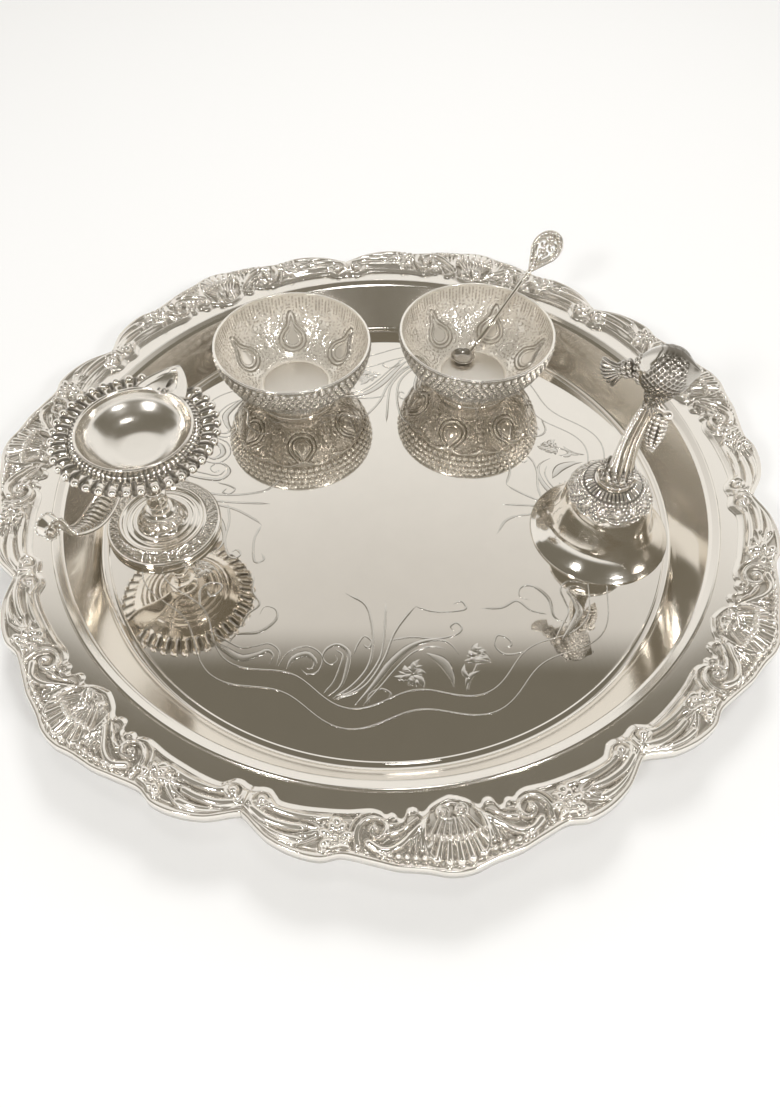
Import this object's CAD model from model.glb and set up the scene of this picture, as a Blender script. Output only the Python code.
import math

import bpy
import numpy as np
from mathutils import Matrix, Vector


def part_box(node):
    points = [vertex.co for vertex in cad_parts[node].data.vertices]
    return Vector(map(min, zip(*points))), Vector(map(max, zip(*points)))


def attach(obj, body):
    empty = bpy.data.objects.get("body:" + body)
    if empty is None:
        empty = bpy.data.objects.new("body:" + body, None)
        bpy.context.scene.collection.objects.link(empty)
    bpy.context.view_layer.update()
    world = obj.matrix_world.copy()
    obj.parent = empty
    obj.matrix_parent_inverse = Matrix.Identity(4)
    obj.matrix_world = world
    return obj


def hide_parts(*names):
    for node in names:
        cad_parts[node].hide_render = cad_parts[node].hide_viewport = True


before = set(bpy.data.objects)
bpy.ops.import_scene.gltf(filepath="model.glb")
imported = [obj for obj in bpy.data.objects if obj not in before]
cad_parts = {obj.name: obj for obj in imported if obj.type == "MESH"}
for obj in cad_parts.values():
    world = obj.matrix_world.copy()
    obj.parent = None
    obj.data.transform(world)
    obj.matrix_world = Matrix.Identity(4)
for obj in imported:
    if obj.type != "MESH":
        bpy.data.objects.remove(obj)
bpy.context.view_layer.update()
mm = 0.001


# Smooth step from 0 at low to 1 at high.
def ease(x, low, high):
    t = np.clip((x - low) / (high - low), 0, 1)
    return t * t * (3 - 2 * t)


# Bell curve of a distance: 1 at the middle, falling alike on both sides over the given width.
def bell(off, wide):
    return np.exp(-((off / wide) ** 2))


# Round hump of a distance: half a circle, 1 at the middle and 0 at the given half width.
def hump(off, wide):
    return np.sqrt(np.clip(1 - (off / wide) ** 2, 0, 1))


# Rounded edge: a quarter circle that rises from 0 at the edge to 1 at the given width.
def quarter(off, wide):
    return np.sqrt(1 - (1 - np.clip(off / wide, 0, 1)) ** 2)


# Highest of several reliefs at each point.
def highest(first, *others):
    for other in others:
        first = np.maximum(first, other)
    return first


# Angles of a full turn, as one row.
def fullTurn(count):
    return np.linspace(0, 2 * np.pi, count, endpoint=False)[None]


# Unit vector at a bearing in degrees.
def unitAt(bearing):
    return np.array([math.cos(math.radians(bearing)), math.sin(math.radians(bearing))])


# Unit direction along a line at each of its points.
def wayOf(line, closed=False):
    way = np.roll(line, -1, 0) - np.roll(line, 1, 0) if closed else np.gradient(line, axis=0)
    return way / (np.linalg.norm(way, axis=1)[:, None] + 1e-12)


# Unit normal of a flat line, to the right of the way it runs.
def lineNormal(line, closed=False):
    way = wayOf(line, closed)
    return np.stack([way[:, 1], -way[:, 0]], 1)


# Length along a line from its first point to each of its points.
def walkOf(line):
    return np.append(0, np.cumsum(np.linalg.norm(np.diff(line, axis=0), axis=1)))


# Columns of a line, each read at new places along it.
def readLine(at, walk, line):
    return np.stack([np.interp(at, walk, line[:, k]) for k in range(line.shape[1])], 1)


# Grid shell: each point of the grid is joined to the next one along and around. With poles the first and
# last rows are drawn together to one point each; with caps such rows are added to the grid.
def gridShell(points, poles=False, caps=False, wrapRows=False, relief=1.0):
    points = np.array(points, float)
    level = np.broadcast_to(relief, points.shape[:2])
    if caps:
        points = np.concatenate([points[:1], points, points[-1:]])
        level = np.concatenate([level[:1], level, level[-1:]])
    rows, cols = points.shape[:2]
    number = np.arange(rows * cols).reshape(rows, cols)
    if poles or caps:
        points[0], points[-1] = points[0].mean(0), points[-1].mean(0)
        number[0], number[-1] = 0, number[-1, 0]
    tall = np.vstack([number, number[:1]]) if wrapRows else number
    wide = np.hstack([tall, tall[:, :1]])
    quads = np.stack([wide[:-1, :-1], wide[:-1, 1:], wide[1:, 1:], wide[1:, :-1]], -1)
    tris = np.zeros((0, 3), int)
    if poles or caps:
        tris = np.vstack([quads[0][:, [0, 2, 3]], quads[-1][:, [0, 1, 2]]])
        quads = quads[1:-1]
    return tidyShell(points.reshape(-1, 3), quads.reshape(-1, 4), tris, level.reshape(-1))


# Keeps only the points that faces use, and turns the faces outwards by the sign of the volume
# (a sixth of the sum of each triangle's triple product).
def tidyShell(verts, quads, tris, relief):
    used, place = np.unique(np.concatenate([quads.ravel(), tris.ravel()]), return_inverse=True)
    verts, relief = verts[used], relief[used]
    quads, tris = place[: quads.size].reshape(-1, 4), place[quads.size:].reshape(-1, 3)
    every = np.vstack([quads[:, [0, 1, 2]], quads[:, [0, 2, 3]], tris])
    corner = verts[every] - verts.mean(0)
    volume = np.einsum("ij,ij->", corner[:, 0], np.cross(corner[:, 1], corner[:, 2]))
    if volume < 0:
        quads, tris = quads[:, ::-1], tris[:, ::-1]
    return {"verts": verts, "quads": quads, "tris": tris, "relief": relief}


# One mesh object from several shells, placed in the mesh itself, riding on its body.
def makePiece(name, shells, metal, body, replaced=()):
    start = np.cumsum([0] + [len(s["verts"]) for s in shells])
    verts = np.concatenate([s["verts"] for s in shells]) * mm
    quads = np.concatenate([s["quads"] + n for s, n in zip(shells, start)])
    tris = np.concatenate([s["tris"] + n for s, n in zip(shells, start)])
    relief = np.concatenate([s["relief"] for s in shells])
    loops = np.concatenate([quads.ravel(), tris.ravel()]).astype(np.int32)
    loopStart = np.concatenate([np.arange(len(quads)) * 4, quads.size + np.arange(len(tris)) * 3])
    mesh = bpy.data.meshes.new(name)
    mesh.vertices.add(len(verts))
    mesh.vertices.foreach_set("co", verts.astype(np.float32).ravel())
    mesh.loops.add(len(loops))
    mesh.loops.foreach_set("vertex_index", loops)
    mesh.polygons.add(len(loopStart))
    mesh.polygons.foreach_set("loop_start", loopStart.astype(np.int32))
    mesh.update(calc_edges=True)
    mesh.validate()
    mesh.shade_smooth()
    mesh.attributes.new("relief", "FLOAT", "POINT").data.foreach_set("value", relief.astype(np.float32))
    mesh.materials.append(metals[metal])
    piece = bpy.data.objects.new(name, mesh)
    bpy.context.scene.collection.objects.link(piece)
    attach(piece, body)
    if replaced:
        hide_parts(*replaced)
    print("piece", name, "with", 2 * len(quads) + len(tris), "triangles")


# Smooth line: a cubic curve through the points, whose slope at each point is half the step between its
# neighbours, read again at even steps along its length.
def smoothLine(points, count, steps=24):
    p = np.asarray(points, float)
    padded = np.vstack([2 * p[0] - p[1], p, 2 * p[-1] - p[-2]])
    a, b, c, d = padded[:-3], padded[1:-2], padded[2:-1], padded[3:]
    t = np.linspace(0, 1, steps, endpoint=False)[:, None, None]
    square, cube = 2 * a - 5 * b + 4 * c - d, 3 * b - a - 3 * c + d
    curve = 0.5 * (2 * b + (c - a) * t + square * t**2 + cube * t**3)
    curve = np.vstack([curve.transpose(1, 0, 2).reshape(-1, p.shape[1]), p[-1:]])
    walk = walkOf(curve)
    return readLine(np.linspace(0, walk[-1], count), walk, curve)


# Turned line: straight runs between corners (radius, height, cut), each corner rounded by a
# quadratic curve that starts and ends the cut's length away from it, at most a share of the run.
def turnedLine(corners, steps=7, most=0.49):
    c = np.asarray(corners, float)
    line = [c[:1, :2]]
    t = np.linspace(0, 1, steps)[:, None]
    for before, here, after in zip(c[:-2, :2], c[1:-1], c[2:, :2]):
        back, on = before - here[:2], after - here[:2]
        backRun, onRun = np.linalg.norm(back), np.linalg.norm(on)
        cut = min(here[2], most * backRun, most * onRun)
        first, last = here[:2] + back / backRun * cut, here[:2] + on / onRun * cut
        curve = (1 - t) ** 2 * first + 2 * t * (1 - t) * here[:2] + t**2 * last
        line.append(curve if cut > 0 else here[None, :2])
    return np.vstack(line + [c[-1:, :2]])


# Splits the long runs of a profile so that no step is longer than the given one.
def evenLine(line, step):
    walk = walkOf(line)
    run = np.diff(walk)
    counts = np.maximum(1, np.ceil(run / step).astype(int))
    part = np.concatenate([np.arange(n) / n for n in counts])
    at = np.append(np.repeat(walk[:-1], counts) + part * np.repeat(run, counts), walk[-1])
    return readLine(at, walk, line)


# Turned form: a profile (radius, height) carried round an upright axis; swell moves each point
# along the profile's normal.
def turned(line, place, count, swell=0.0, poles=False, relief=1.0):
    angle, out = fullTurn(count), lineNormal(line)
    radius = line[:, :1] + out[:, :1] * swell + 0 * angle
    height = line[:, 1:] + out[:, 1:] * swell + 0 * angle
    points = np.stack([place[0] + radius * np.cos(angle), place[1] + radius * np.sin(angle), height], -1)
    return gridShell(points, poles=poles, relief=relief)


# Tube: a round section carried along a line; its radius may change, and side is the direction that
# the section's first axis keeps square to the line.
def tube(line, radius, side, sides=12, flat=1.0, relief=1.0):
    way = wayOf(line)
    first = np.cross(way, np.broadcast_to(side, way.shape))
    first /= np.linalg.norm(first, axis=1)[:, None]
    second = flat * np.cross(way, first)
    angle = fullTurn(sides)[..., None]
    size = np.broadcast_to(radius, (len(line),))[:, None, None]
    points = line[:, None] + size * (first[:, None] * np.cos(angle) + second[:, None] * np.sin(angle))
    return gridShell(points, caps=True, relief=relief)


# Beads: one small ball, with few faces, repeated at each centre; stretch scales its three axes.
def beads(centres, radii, rows=7, cols=10, stretch=(1, 1, 1), tone=1.0):
    centres = np.asarray(centres, float).reshape(-1, 3)
    radii = np.broadcast_to(radii, (len(centres),))[:, None, None]
    fall, turn = np.linspace(0, np.pi, rows)[:, None], fullTurn(cols)
    ball = np.stack([np.sin(fall) * np.cos(turn), np.sin(fall) * np.sin(turn), np.cos(fall) + 0 * turn], -1)
    one = gridShell(ball * stretch, poles=True)
    count = len(one["verts"])
    step = (np.arange(len(centres)) * count)[:, None, None]
    return {
        "verts": (centres[:, None] + radii * one["verts"]).reshape(-1, 3),
        "quads": (one["quads"] + step).reshape(-1, 4),
        "tris": (one["tris"] + step).reshape(-1, 3),
        "relief": np.full(len(centres) * count, tone),
    }


# Distance of each point to a line of straight runs, and the share of the line at the nearest place.
def nearLine(x, y, line):
    begin, way, walk = line[:-1], np.diff(line, axis=0), walkOf(line)
    run = np.diff(walk)
    dx, dy = x[..., None] - begin[:, 0], y[..., None] - begin[:, 1]
    t = np.clip((dx * way[:, 0] + dy * way[:, 1]) / run**2, 0, 1)
    gap = np.hypot(dx - t * way[:, 0], dy - t * way[:, 1])
    best = gap.argmin(-1)
    near, share = (np.take_along_axis(field, best[..., None], -1)[..., 0] for field in (gap, t))
    return near, (walk[best] + share * run[best]) / walk[-1]


# Ridge on a field: round section along a smooth line, half width and height changing evenly from
# its first to its last value, with a groove along its middle. Worked out only near the line.
def addRidge(field, points, width, height, groove=0.0, count=28, grooveShare=0.28):
    line = smoothLine(points, count)
    width, height = np.broadcast_to(width, (2,)), np.broadcast_to(height, (2,))
    low, high = line.min(0) - width.max(), line.max(0) + width.max()
    near = (field["x"] > low[0]) & (field["x"] < high[0]) & (field["y"] > low[1]) & (field["y"] < high[1])
    gap, share = nearLine(field["x"][near], field["y"][near], line)
    half = width[0] + (width[1] - width[0]) * share
    tall = height[0] + (height[1] - height[0]) * share
    form = tall * hump(gap, half) * (1 - groove * bell(gap, grooveShare * half))
    field["form"][near] = np.maximum(field["form"][near], form)


# Dome on a field: half an ellipsoid on a turned ellipse.
def addDome(field, x, y, long, short, height, turn=0.0):
    c, s = unitAt(turn)
    dx, dy = field["x"] - x, field["y"] - y
    far = np.hypot((dx * c + dy * s) / long, (dy * c - dx * s) / short)
    field["form"] = np.maximum(field["form"], height * hump(far, 1.0))


# Spiral line: the radius goes evenly from outer to inner while the angle turns.
def spiralLine(x, y, outer, inner, start, turns, count=40):
    t = np.linspace(0, 1, count)
    angle = np.radians(start) + 2 * np.pi * turns * t
    radius = outer + (inner - outer) * t
    return np.stack([x + radius * np.cos(angle), y + radius * np.sin(angle)], 1)


# Dots along a line: half balls at even steps, from the distance off the line and the length along it.
def dotRow(off, walk, step, size):
    near = (np.mod(walk / step, 1) - 0.5) * step
    return hump(np.hypot(near, off), size)


# Fills a shader node's inputs: a socket is linked, any other value is set.
def fillNode(tree, node, values):
    for name, value in values.items():
        if isinstance(value, bpy.types.NodeSocket):
            tree.links.new(value, node.inputs[name])
        else:
            node.inputs[name].default_value = value
    return node


# New shader node of one kind, with its settings and its inputs.
def addNode(tree, kind, values, **settings):
    node = tree.nodes.new("ShaderNode" + kind)
    for name, value in settings.items():
        setattr(node, name, value)
    return fillNode(tree, node, values)


# One step of arithmetic on two values, each a socket or a number.
def addMath(tree, operation, first, second):
    return addNode(tree, "Math", {0: first, 1: second}, operation=operation).outputs["Value"]


# Mix of two colours by a factor, each colour a socket or three numbers.
def mixColours(tree, factor, first, second):
    first, second = ((*c, 1) if isinstance(c, tuple) else c for c in (first, second))
    values = {"Factor": factor, "A": first, "B": second}
    return addNode(tree, "Mix", values, data_type="RGBA").outputs["Result"]


# Smooth mask of a value, from 0 at the first limit to 1 at the second, whichever is the larger.
def softMask(tree, source, low, high):
    limits = {"From Min": min(low, high), "From Max": max(low, high)}
    ends = {"To Min": 0.0 if low < high else 1.0, "To Max": 1.0 if low < high else 0.0}
    values = {"Value": source, **limits, **ends}
    return addNode(tree, "MapRange", values, interpolation_type="SMOOTHSTEP").outputs["Result"]


# Materials. Every silver is a metal whose roughness wanders with soft smears and fine wiping marks.
metalLook = {
    "smear": {"Scale": 55.0, "Detail": 5.0, "Roughness": 0.62}, "smearSpan": (0.32, 0.70),
    "smearDark": 0.93,
    "wipe": {"Scale": 900.0, "Detail": 3.0}, "wipeDepth": 0.00012, "hollowDull": 0.22,
    "wipeLay": {"Rotation": (0.2, 0.1, 0.7), "Scale": (1.0, 0.06, 0.3)},
    "tints": {
        "bright": (0.93, 0.89, 0.83), "lit": (0.97, 0.94, 0.89), "recess": (0.46, 0.42, 0.355),
        "satin": (0.30, 0.275, 0.23), "warm": (0.99, 0.935, 0.85), "hollow": (0.54, 0.50, 0.44),
        "frost": (0.84, 0.81, 0.76), "aged": (0.20, 0.18, 0.15), "steel": (0.56, 0.55, 0.53),
    },
    # tint, roughness, its spread, strength of the wiping marks, tint of the hollows, share of metal
    "metals": {
        "polishedSilver": ("bright", 0.045, 0.07, 0.10),
        "traySilver": ("bright", 0.018, 0.03, 0.035, "bright"),
        "borderSilver": ("bright", 0.08, 0.08, 0.12, "hollow", 0.85),
        "bowlSilver": ("lit", 0.09, 0.07, 0.12, "recess", 0.75),
        "softSilver": ("bright", 0.16, 0.07, 0.12),
        "castSilver": ("bright", 0.07, 0.08, 0.12, "recess"),
        "agedSilver": ("bright", 0.07, 0.08, 0.12, "aged"),
        "satinSilver": ("warm", 0.09, 0.06, 0.12, "satin", 0.48),
        "brushedSilver": ("bright", 0.34, 0.06, 0.12),
        "frostedSilver": ("frost", 0.16, 0.06, 0.3),
        "plainSteel": ("steel", 0.22, 0.15, 0.35),
    },
}


# Metal: the colour and the roughness run over spans of the smear noise, and the wiping marks are a
# stretched noise used as bump.
def makeMetal(v, name, tint, rough, spread, wipe, recess=None, metal=1.0):
    material = bpy.data.materials.new(name)
    material.use_nodes = True
    tree, tint = material.node_tree, v["tints"][tint]
    place = addNode(tree, "TexCoord", {}).outputs["Object"]
    smear = addNode(tree, "TexNoise", {"Vector": place, **v["smear"]}).outputs["Fac"]
    low, high = v["smearSpan"]
    roughness = addNode(tree, "MapRange", {
        "Value": smear, "From Min": low, "From Max": high, "To Min": rough, "To Max": rough + spread,
    }).outputs["Result"]
    lay = addNode(tree, "Mapping", {"Vector": place, **v["wipeLay"]}).outputs["Vector"]
    marks = addNode(tree, "TexNoise", {"Vector": lay, **v["wipe"]}).outputs["Fac"]
    bump = addNode(tree, "Bump", {"Height": marks, "Strength": wipe, "Distance": v["wipeDepth"]})
    colour = mixColours(tree, smear, tuple(v["smearDark"] * c for c in tint), tint)
    if recess:
        # Hollows keep a dull tone: the relief attribute is 0 in the ground and 1 on the forms.
        level = addNode(tree, "Attribute", {}, attribute_name="relief").outputs["Fac"]
        colour = mixColours(tree, level, v["tints"][recess], colour)
        dull = addNode(tree, "MapRange", {"Value": level, "To Min": v["hollowDull"], "To Max": 0.0})
        roughness = addMath(tree, "ADD", roughness, dull.outputs["Result"])
    fillNode(tree, tree.nodes["Principled BSDF"], {
        "Metallic": metal, "Normal": bump.outputs["Normal"], "Base Color": colour, "Roughness": roughness,
    })
    return material


metals = {name: makeMetal(metalLook, name, *row) for name, row in metalLook["metals"].items()}
print("materials ready")


# Box and middle of a solid, read from the frame in millimetres.
def nodeBox(node):
    low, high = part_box(node)
    return np.array(low) / mm, np.array(high) / mm


def nodePlace(node):
    low, high = nodeBox(node)
    return (low[:2] + high[:2]) / 2


# Tray: "bends" are the roundings of the well's edge, the wall's top, the flange and the underside, "crest"
# is where the fine steps of the shoulder end, and "shine" is how far about the well's edge the polish ends.
tray = {
    "well": 123.2, "wellTop": 1.2, "wallTop": 135.0, "flangeTop": 20.3, "sheet": 1.2, "flange": 151.0,
    "shoulder": (134.6, 137.5, 138.6, 0.8), "line": (2.7, 0.5, 0.22), "lineBends": (0.2, 0.3),
    "count": 360,
    "bends": (1.3, 0.9, 0.5, 1.6), "crest": (139.2, 139.4), "crestSteps": 70, "under": (136.2, 0.7),
    "wallEnd": (0.9, 0.5, 0.2), "plain": 4.0, "dull": 0.55, "shine": 1.0,
}


# Tray plate: the sheet's profile carried round; the shoulder rises on a straight slope to a crest and
# falls in a quarter ellipse, and a thin line stands near the edge of the well.
def makeTray(v):
    top, well, floor, wall = v["flangeTop"], v["well"], v["wellTop"], v["wallTop"]
    under = top - v["sheet"]
    inset, half, tall = v["line"]
    foot, peak = v["lineBends"]
    edgeBend, wallBend, flangeBend, underBend = v["bends"]
    back, down, past = v["wallEnd"]
    upper = turnedLine([
        (0, floor, 0), (well - v["plain"], floor, 0), (well - inset - half, floor, foot),
        (well - inset, floor + tall, peak), (well - inset + half, floor, foot), (well, floor, edgeBend),
        (wall - back, top - down, wallBend), (wall + past, top, 0),
    ], 9)
    across = np.linspace(wall + past, v["crest"][0], v["crestSteps"])
    flat = np.stack([across, np.full_like(across, top)], 1)
    edge = turnedLine([
        (v["crest"][1], top, 0), (v["flange"], top, flangeBend), (v["flange"], under, flangeBend),
        (v["under"][0], under, underBend), (well + v["under"][1], 0, underBend), (0, 0, 0),
    ])
    line = np.vstack([upper[:-1], flat, edge])
    first, crest, last, rise = v["shoulder"]
    slope = np.clip((line[:, 0] - first) / (crest - first), 0, 1)
    fall = np.sqrt(1 - np.clip((line[:, 0] - crest) / (last - crest), 0, 1) ** 2)
    line[:, 1] += np.where(line[:, 1] > top - v["sheet"] / 2, rise * slope * fall, 0)
    shine = 1 - v["dull"] * ease(line[:, :1], well - v["shine"], well + v["shine"])
    shell = turned(line, (0, 0), v["count"], poles=True, relief=shine)
    makePiece("tray_sheet", [shell], "traySilver", "tray", ["tray_plate"])


makeTray(tray)


# Border mounts. Plan places are (along, across): along is the arc from the shell's middle at the radius
# "middle", across is the radius beyond "lip", both in millimetres, and each form is mirrored.
border = {
    "mounts": 7, "firstShell": -81.4, "middle": 155.0, "lip": 140.5, "columns": 400, "rows": 74,
    "lipHeight": 1.35, "fieldRise": 0.6, "fieldFrom": (3, 7), "band": 1.9, "edgeRise": 0.7,
    "edgeRound": 0.7,
    "bandFall": 1.5, "skirt": 2.4, "joint": 0.5, "tuck": (1.1, 1.5, 1.6, 0.4), "gap": 0.02,
    # rounding of the lip: height of its first step, width of that step and width of the whole
    "lipRound": (0.5, 0.35, 2.0),
    # grooves inside the lip and inside the outer band: depth, place, width
    "groove": (0.85, 2.75, 0.55), "valley": (0.35, 0.9, 0.45),
    # from where to where the forms start beside the lip and the edge, and the plain shine there ends
    "clearLip": (1.9, 2.8), "clearEdge": (1.9, 2.9), "shineLip": (1.7, 2.5), "shineEdge": (2.2, 2.9),
    "tone": (0.25, 1.9), "edgeSteps": 900, "spiralSteps": 48,
    "inner": [
        (0, 0.0), (1.2, 0.9), (2.4, 2.4), (3.3, 4.4), (3.9, 4.6), (4.3, 3.4), (4.9, 3.0), (5.5, 3.6),
        (5.8, 5.6),
        (6.2, 6.6), (6.7, 6.2), (7.0, 5.1), (7.5, 4.6), (8.0, 5.1), (8.4, 5.0), (8.9, 4.0), (10, 3.3),
        (11.5, 3.6),
        (13, 4.1), (16, 4.5), (19, 4.9), (21.5, 4.8), (22.3, 3.6), (23.2, 1.9), (24.2, 1.7), (25, 2.3),
        (25.72, 2.6),
    ],
    "outer": [
        (0, 26.0), (1.6, 25.5), (3.5, 24.0), (5.2, 23.3), (7, 22.7), (9.6, 21.0), (13, 19.5), (15.5, 21.3),
        (18.5, 20.8), (21.4, 18.8), (23, 16.8), (24.7, 14.2), (25.72, 13.0),
    ],
    # points, half width first to last, height first to last, centre groove
    "ridges": [
        ([(60.8, 7.4), (55, 8.4), (48, 8.7), (40.5, 7.9)], (2.1, 1.5), (2.3, 1.6), 0),
        ([(66.4, 10.4), (60.5, 12.3), (54, 12.9), (49, 12.6)], (1.8, 1.5), (2.3, 1.9), 0),
        ([(68.8, 6.0), (68.4, 10.6), (64.5, 14.3), (56, 16.4), (49.5, 16.6)], (1.7, 1.6), (2.2, 1.9), 0),
        ([(42.5, 13.4), (47.5, 16.6), (52.6, 18.4)], (1.5, 0.5), (2.2, 1.2), 0.45),
        ([(42.5, 13.2), (47.5, 14.6), (52.0, 15.4)], (1.4, 0.5), (2.2, 1.2), 0.45),
        ([(42.5, 12.8), (46.5, 12.4), (50.2, 11.2)], (1.3, 0.5), (2.1, 1.2), 0.45),
        ([(42.0, 12.2), (44.5, 10.8), (47.2, 10.2)], (1.1, 0.4), (1.9, 1.0), 0.45),
        ([(34.5, 16.8), (37.5, 18.6), (42.5, 18.8)], (1.0, 0.5), (1.8, 1.1), 0),
        ([(30.8, 16.6), (31.4, 12.0), (29.4, 8.4), (25.8, 7.1), (22.6, 8.4), (21.8, 11.2), (23.4, 13.5),
        (26.0, 13.2),
          (27.0, 11.2), (25.7, 10.1)], (1.25, 0.8), (2.3, 2.6), 0.25),
        ([(33.8, 15.0), (33.6, 10.6), (31.2, 6.6), (27.2, 5.0)], (0.7, 0.5), (1.7, 1.2), 0),
        ([(27.4, 15.4), (24.0, 17.3), (20.6, 17.3), (17.0, 15.4), (13.8, 12.4), (10.4, 9.4),
        (8.8, 8.0)], (1.7, 1.0), (2.7, 1.9), 0),
        ([(20.4, 12.6), (17.0, 11.2), (13.6, 8.8), (11.6, 7.4)], (1.2, 0.6), (2.0, 1.2), 0),
        ([(21.8, 9.8), (18.5, 8.9), (16.0, 7.6)], (0.9, 0.5), (1.7, 1.0), 0),
        ([(9.4, 7.0), (10.6, 12.0), (11.2, 18.0)], (0.85, 0.8), (2.1, 1.8), 0),
        ([(10.0, 8.2), (12.0, 13.0), (13.0, 18.0)], (0.8, 0.8), (2.0, 1.8), 0),
        ([(10.8, 9.4), (13.6, 13.6), (15.0, 17.6)], (0.8, 0.7), (1.9, 1.6), 0),
        ([(11.8, 10.4), (15.4, 14.2), (17.4, 17.0)], (0.8, 0.6), (1.9, 1.5), 0),
        ([(8.0, 5.6), (9.6, 9.6), (10.1, 14.0), (9.4, 18.4), (7.4, 21.4)], (0.8, 1.0), (2.2, 2.4), 0),
        ([(0.0, 9.0), (0.0, 12.4), (0.0, 15.4)], (0.65, 1.05), (2.4, 2.4), 0),
        ([(1.1, 9.2), (1.7, 12.4), (2.2, 15.4)], (0.6, 1.0), (2.4, 2.4), 0),
        ([(2.2, 9.2), (3.4, 12.4), (4.4, 15.2)], (0.6, 1.0), (2.3, 2.3), 0),
        ([(3.4, 9.0), (5.1, 12.0), (6.5, 14.6)], (0.6, 1.0), (2.3, 2.3), 0),
        ([(4.6, 8.4), (6.7, 11.4), (8.3, 13.8)], (0.5, 0.7), (2.1, 2.2), 0),
        ([(0.0, 16.0), (0.0, 19.0), (0.0, 22.4)], (1.4, 1.7), (3.0, 2.6), 0),
        ([(2.5, 16.0), (3.0, 19.0), (3.4, 22.0)], (1.3, 1.6), (3.0, 2.6), 0),
        ([(4.9, 15.6), (5.8, 18.2), (6.6, 20.8)], (1.2, 1.5), (2.9, 2.5), 0),
        ([(7.1, 14.9), (8.3, 16.8), (9.2, 18.6)], (1.1, 1.3), (2.7, 2.3), 0),
        ([(0.0, 3.4), (2.4, 4.2), (5.2, 5.0)], (0.8, 0.5), (1.3, 0.9), 0),
    ],
    # spirals: along, across, outer and inner radius, start angle, turns, half width, height
    "spirals": [
        (64.3, 6.6, 4.1, 2.3, 95, -1.15, 0.95, 2.2),
        (2.9, 6.7, 2.5, 1.4, -80, 1.2, 0.6, 2.3),
    ],
    # domes: along, across, long, short, height, turn
    "domes": [
        (64.3, 6.6, 2.1, 2.1, 2.9, 0), (2.9, 6.7, 1.4, 1.4, 3.0, 0), (38.4, 8.9, 2.2, 2.1, 2.7, 0),
        (25.2, 11.2, 1.1, 1.1, 3.1, 0), (37.8, 14.4, 1.5, 1.5, 3.6, 0), (44.2, 8.9, 1.0, 1.0, 1.9, 0),
        (34.9, 9.6, 1.0, 1.0, 2.0, 0), (42.0, 10.4, 0.9, 0.9, 1.9, 0), (40.8, 18.9, 1.25, 1.25, 2.9, 0),
        (37.4, 19.3, 1.15, 1.15, 2.8, 0),
        (34.2, 18.5, 1.15, 1.15, 2.8, 0), (31.0, 18.6, 1.2, 1.2, 2.8, 0), (28.0, 18.6, 1.1, 1.1, 2.7, 0),
        (69.3, 10.6, 1.1, 1.1, 2.4, 0), (68.9, 3.9, 1.0, 1.0, 1.9, 0),
        (67.2, 13.2, 0.9, 0.9, 1.9, 0), (21.8, 6.8, 0.8, 0.8, 1.5, 0), (19.6, 7.6, 0.7, 0.7, 1.4, 0),
    ],
    "flower": (37.8, 14.2, 3.5, 2.7, 1.75, 3.1, 7),
    "beadRows": [(10.6, 23.6, 20.3, 18.9, 6, 1.25, 2.9), (0.0, 8.8, 15.8, 14.2, 6, 1.05, 4.4)],
}


# Edge of a mount across the angle: a smooth line through its points, read at each angle.
def mountEdge(points, angle, steps):
    line = smoothLine(points, steps)
    order = np.argsort(line[:, 0])
    return np.interp(angle, line[order, 0], line[order, 1])


# Ornament of half a mount: the highest of all its ridges, spirals, domes, petals and bead rows.
def carveMount(field, v):
    for ridge in v["ridges"]:
        addRidge(field, *ridge)
    for *spiral, width, height in v["spirals"]:
        addRidge(field, spiralLine(*spiral), width, height, count=v["spiralSteps"])
    for dome in v["domes"]:
        addDome(field, *dome)
    x, y, reach, long, short, height, petals = v["flower"]
    for turn in 90 + 360 / petals * np.arange(petals):
        dx, dy = reach * unitAt(turn)
        addDome(field, x + dx, y + dy, long, short, height, turn)
    for first, last, yFirst, yLast, count, size, height in v["beadRows"]:
        for x, y in np.linspace((first, yFirst), (last, yLast), count):
            addDome(field, x, y, size, size, height)


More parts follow.
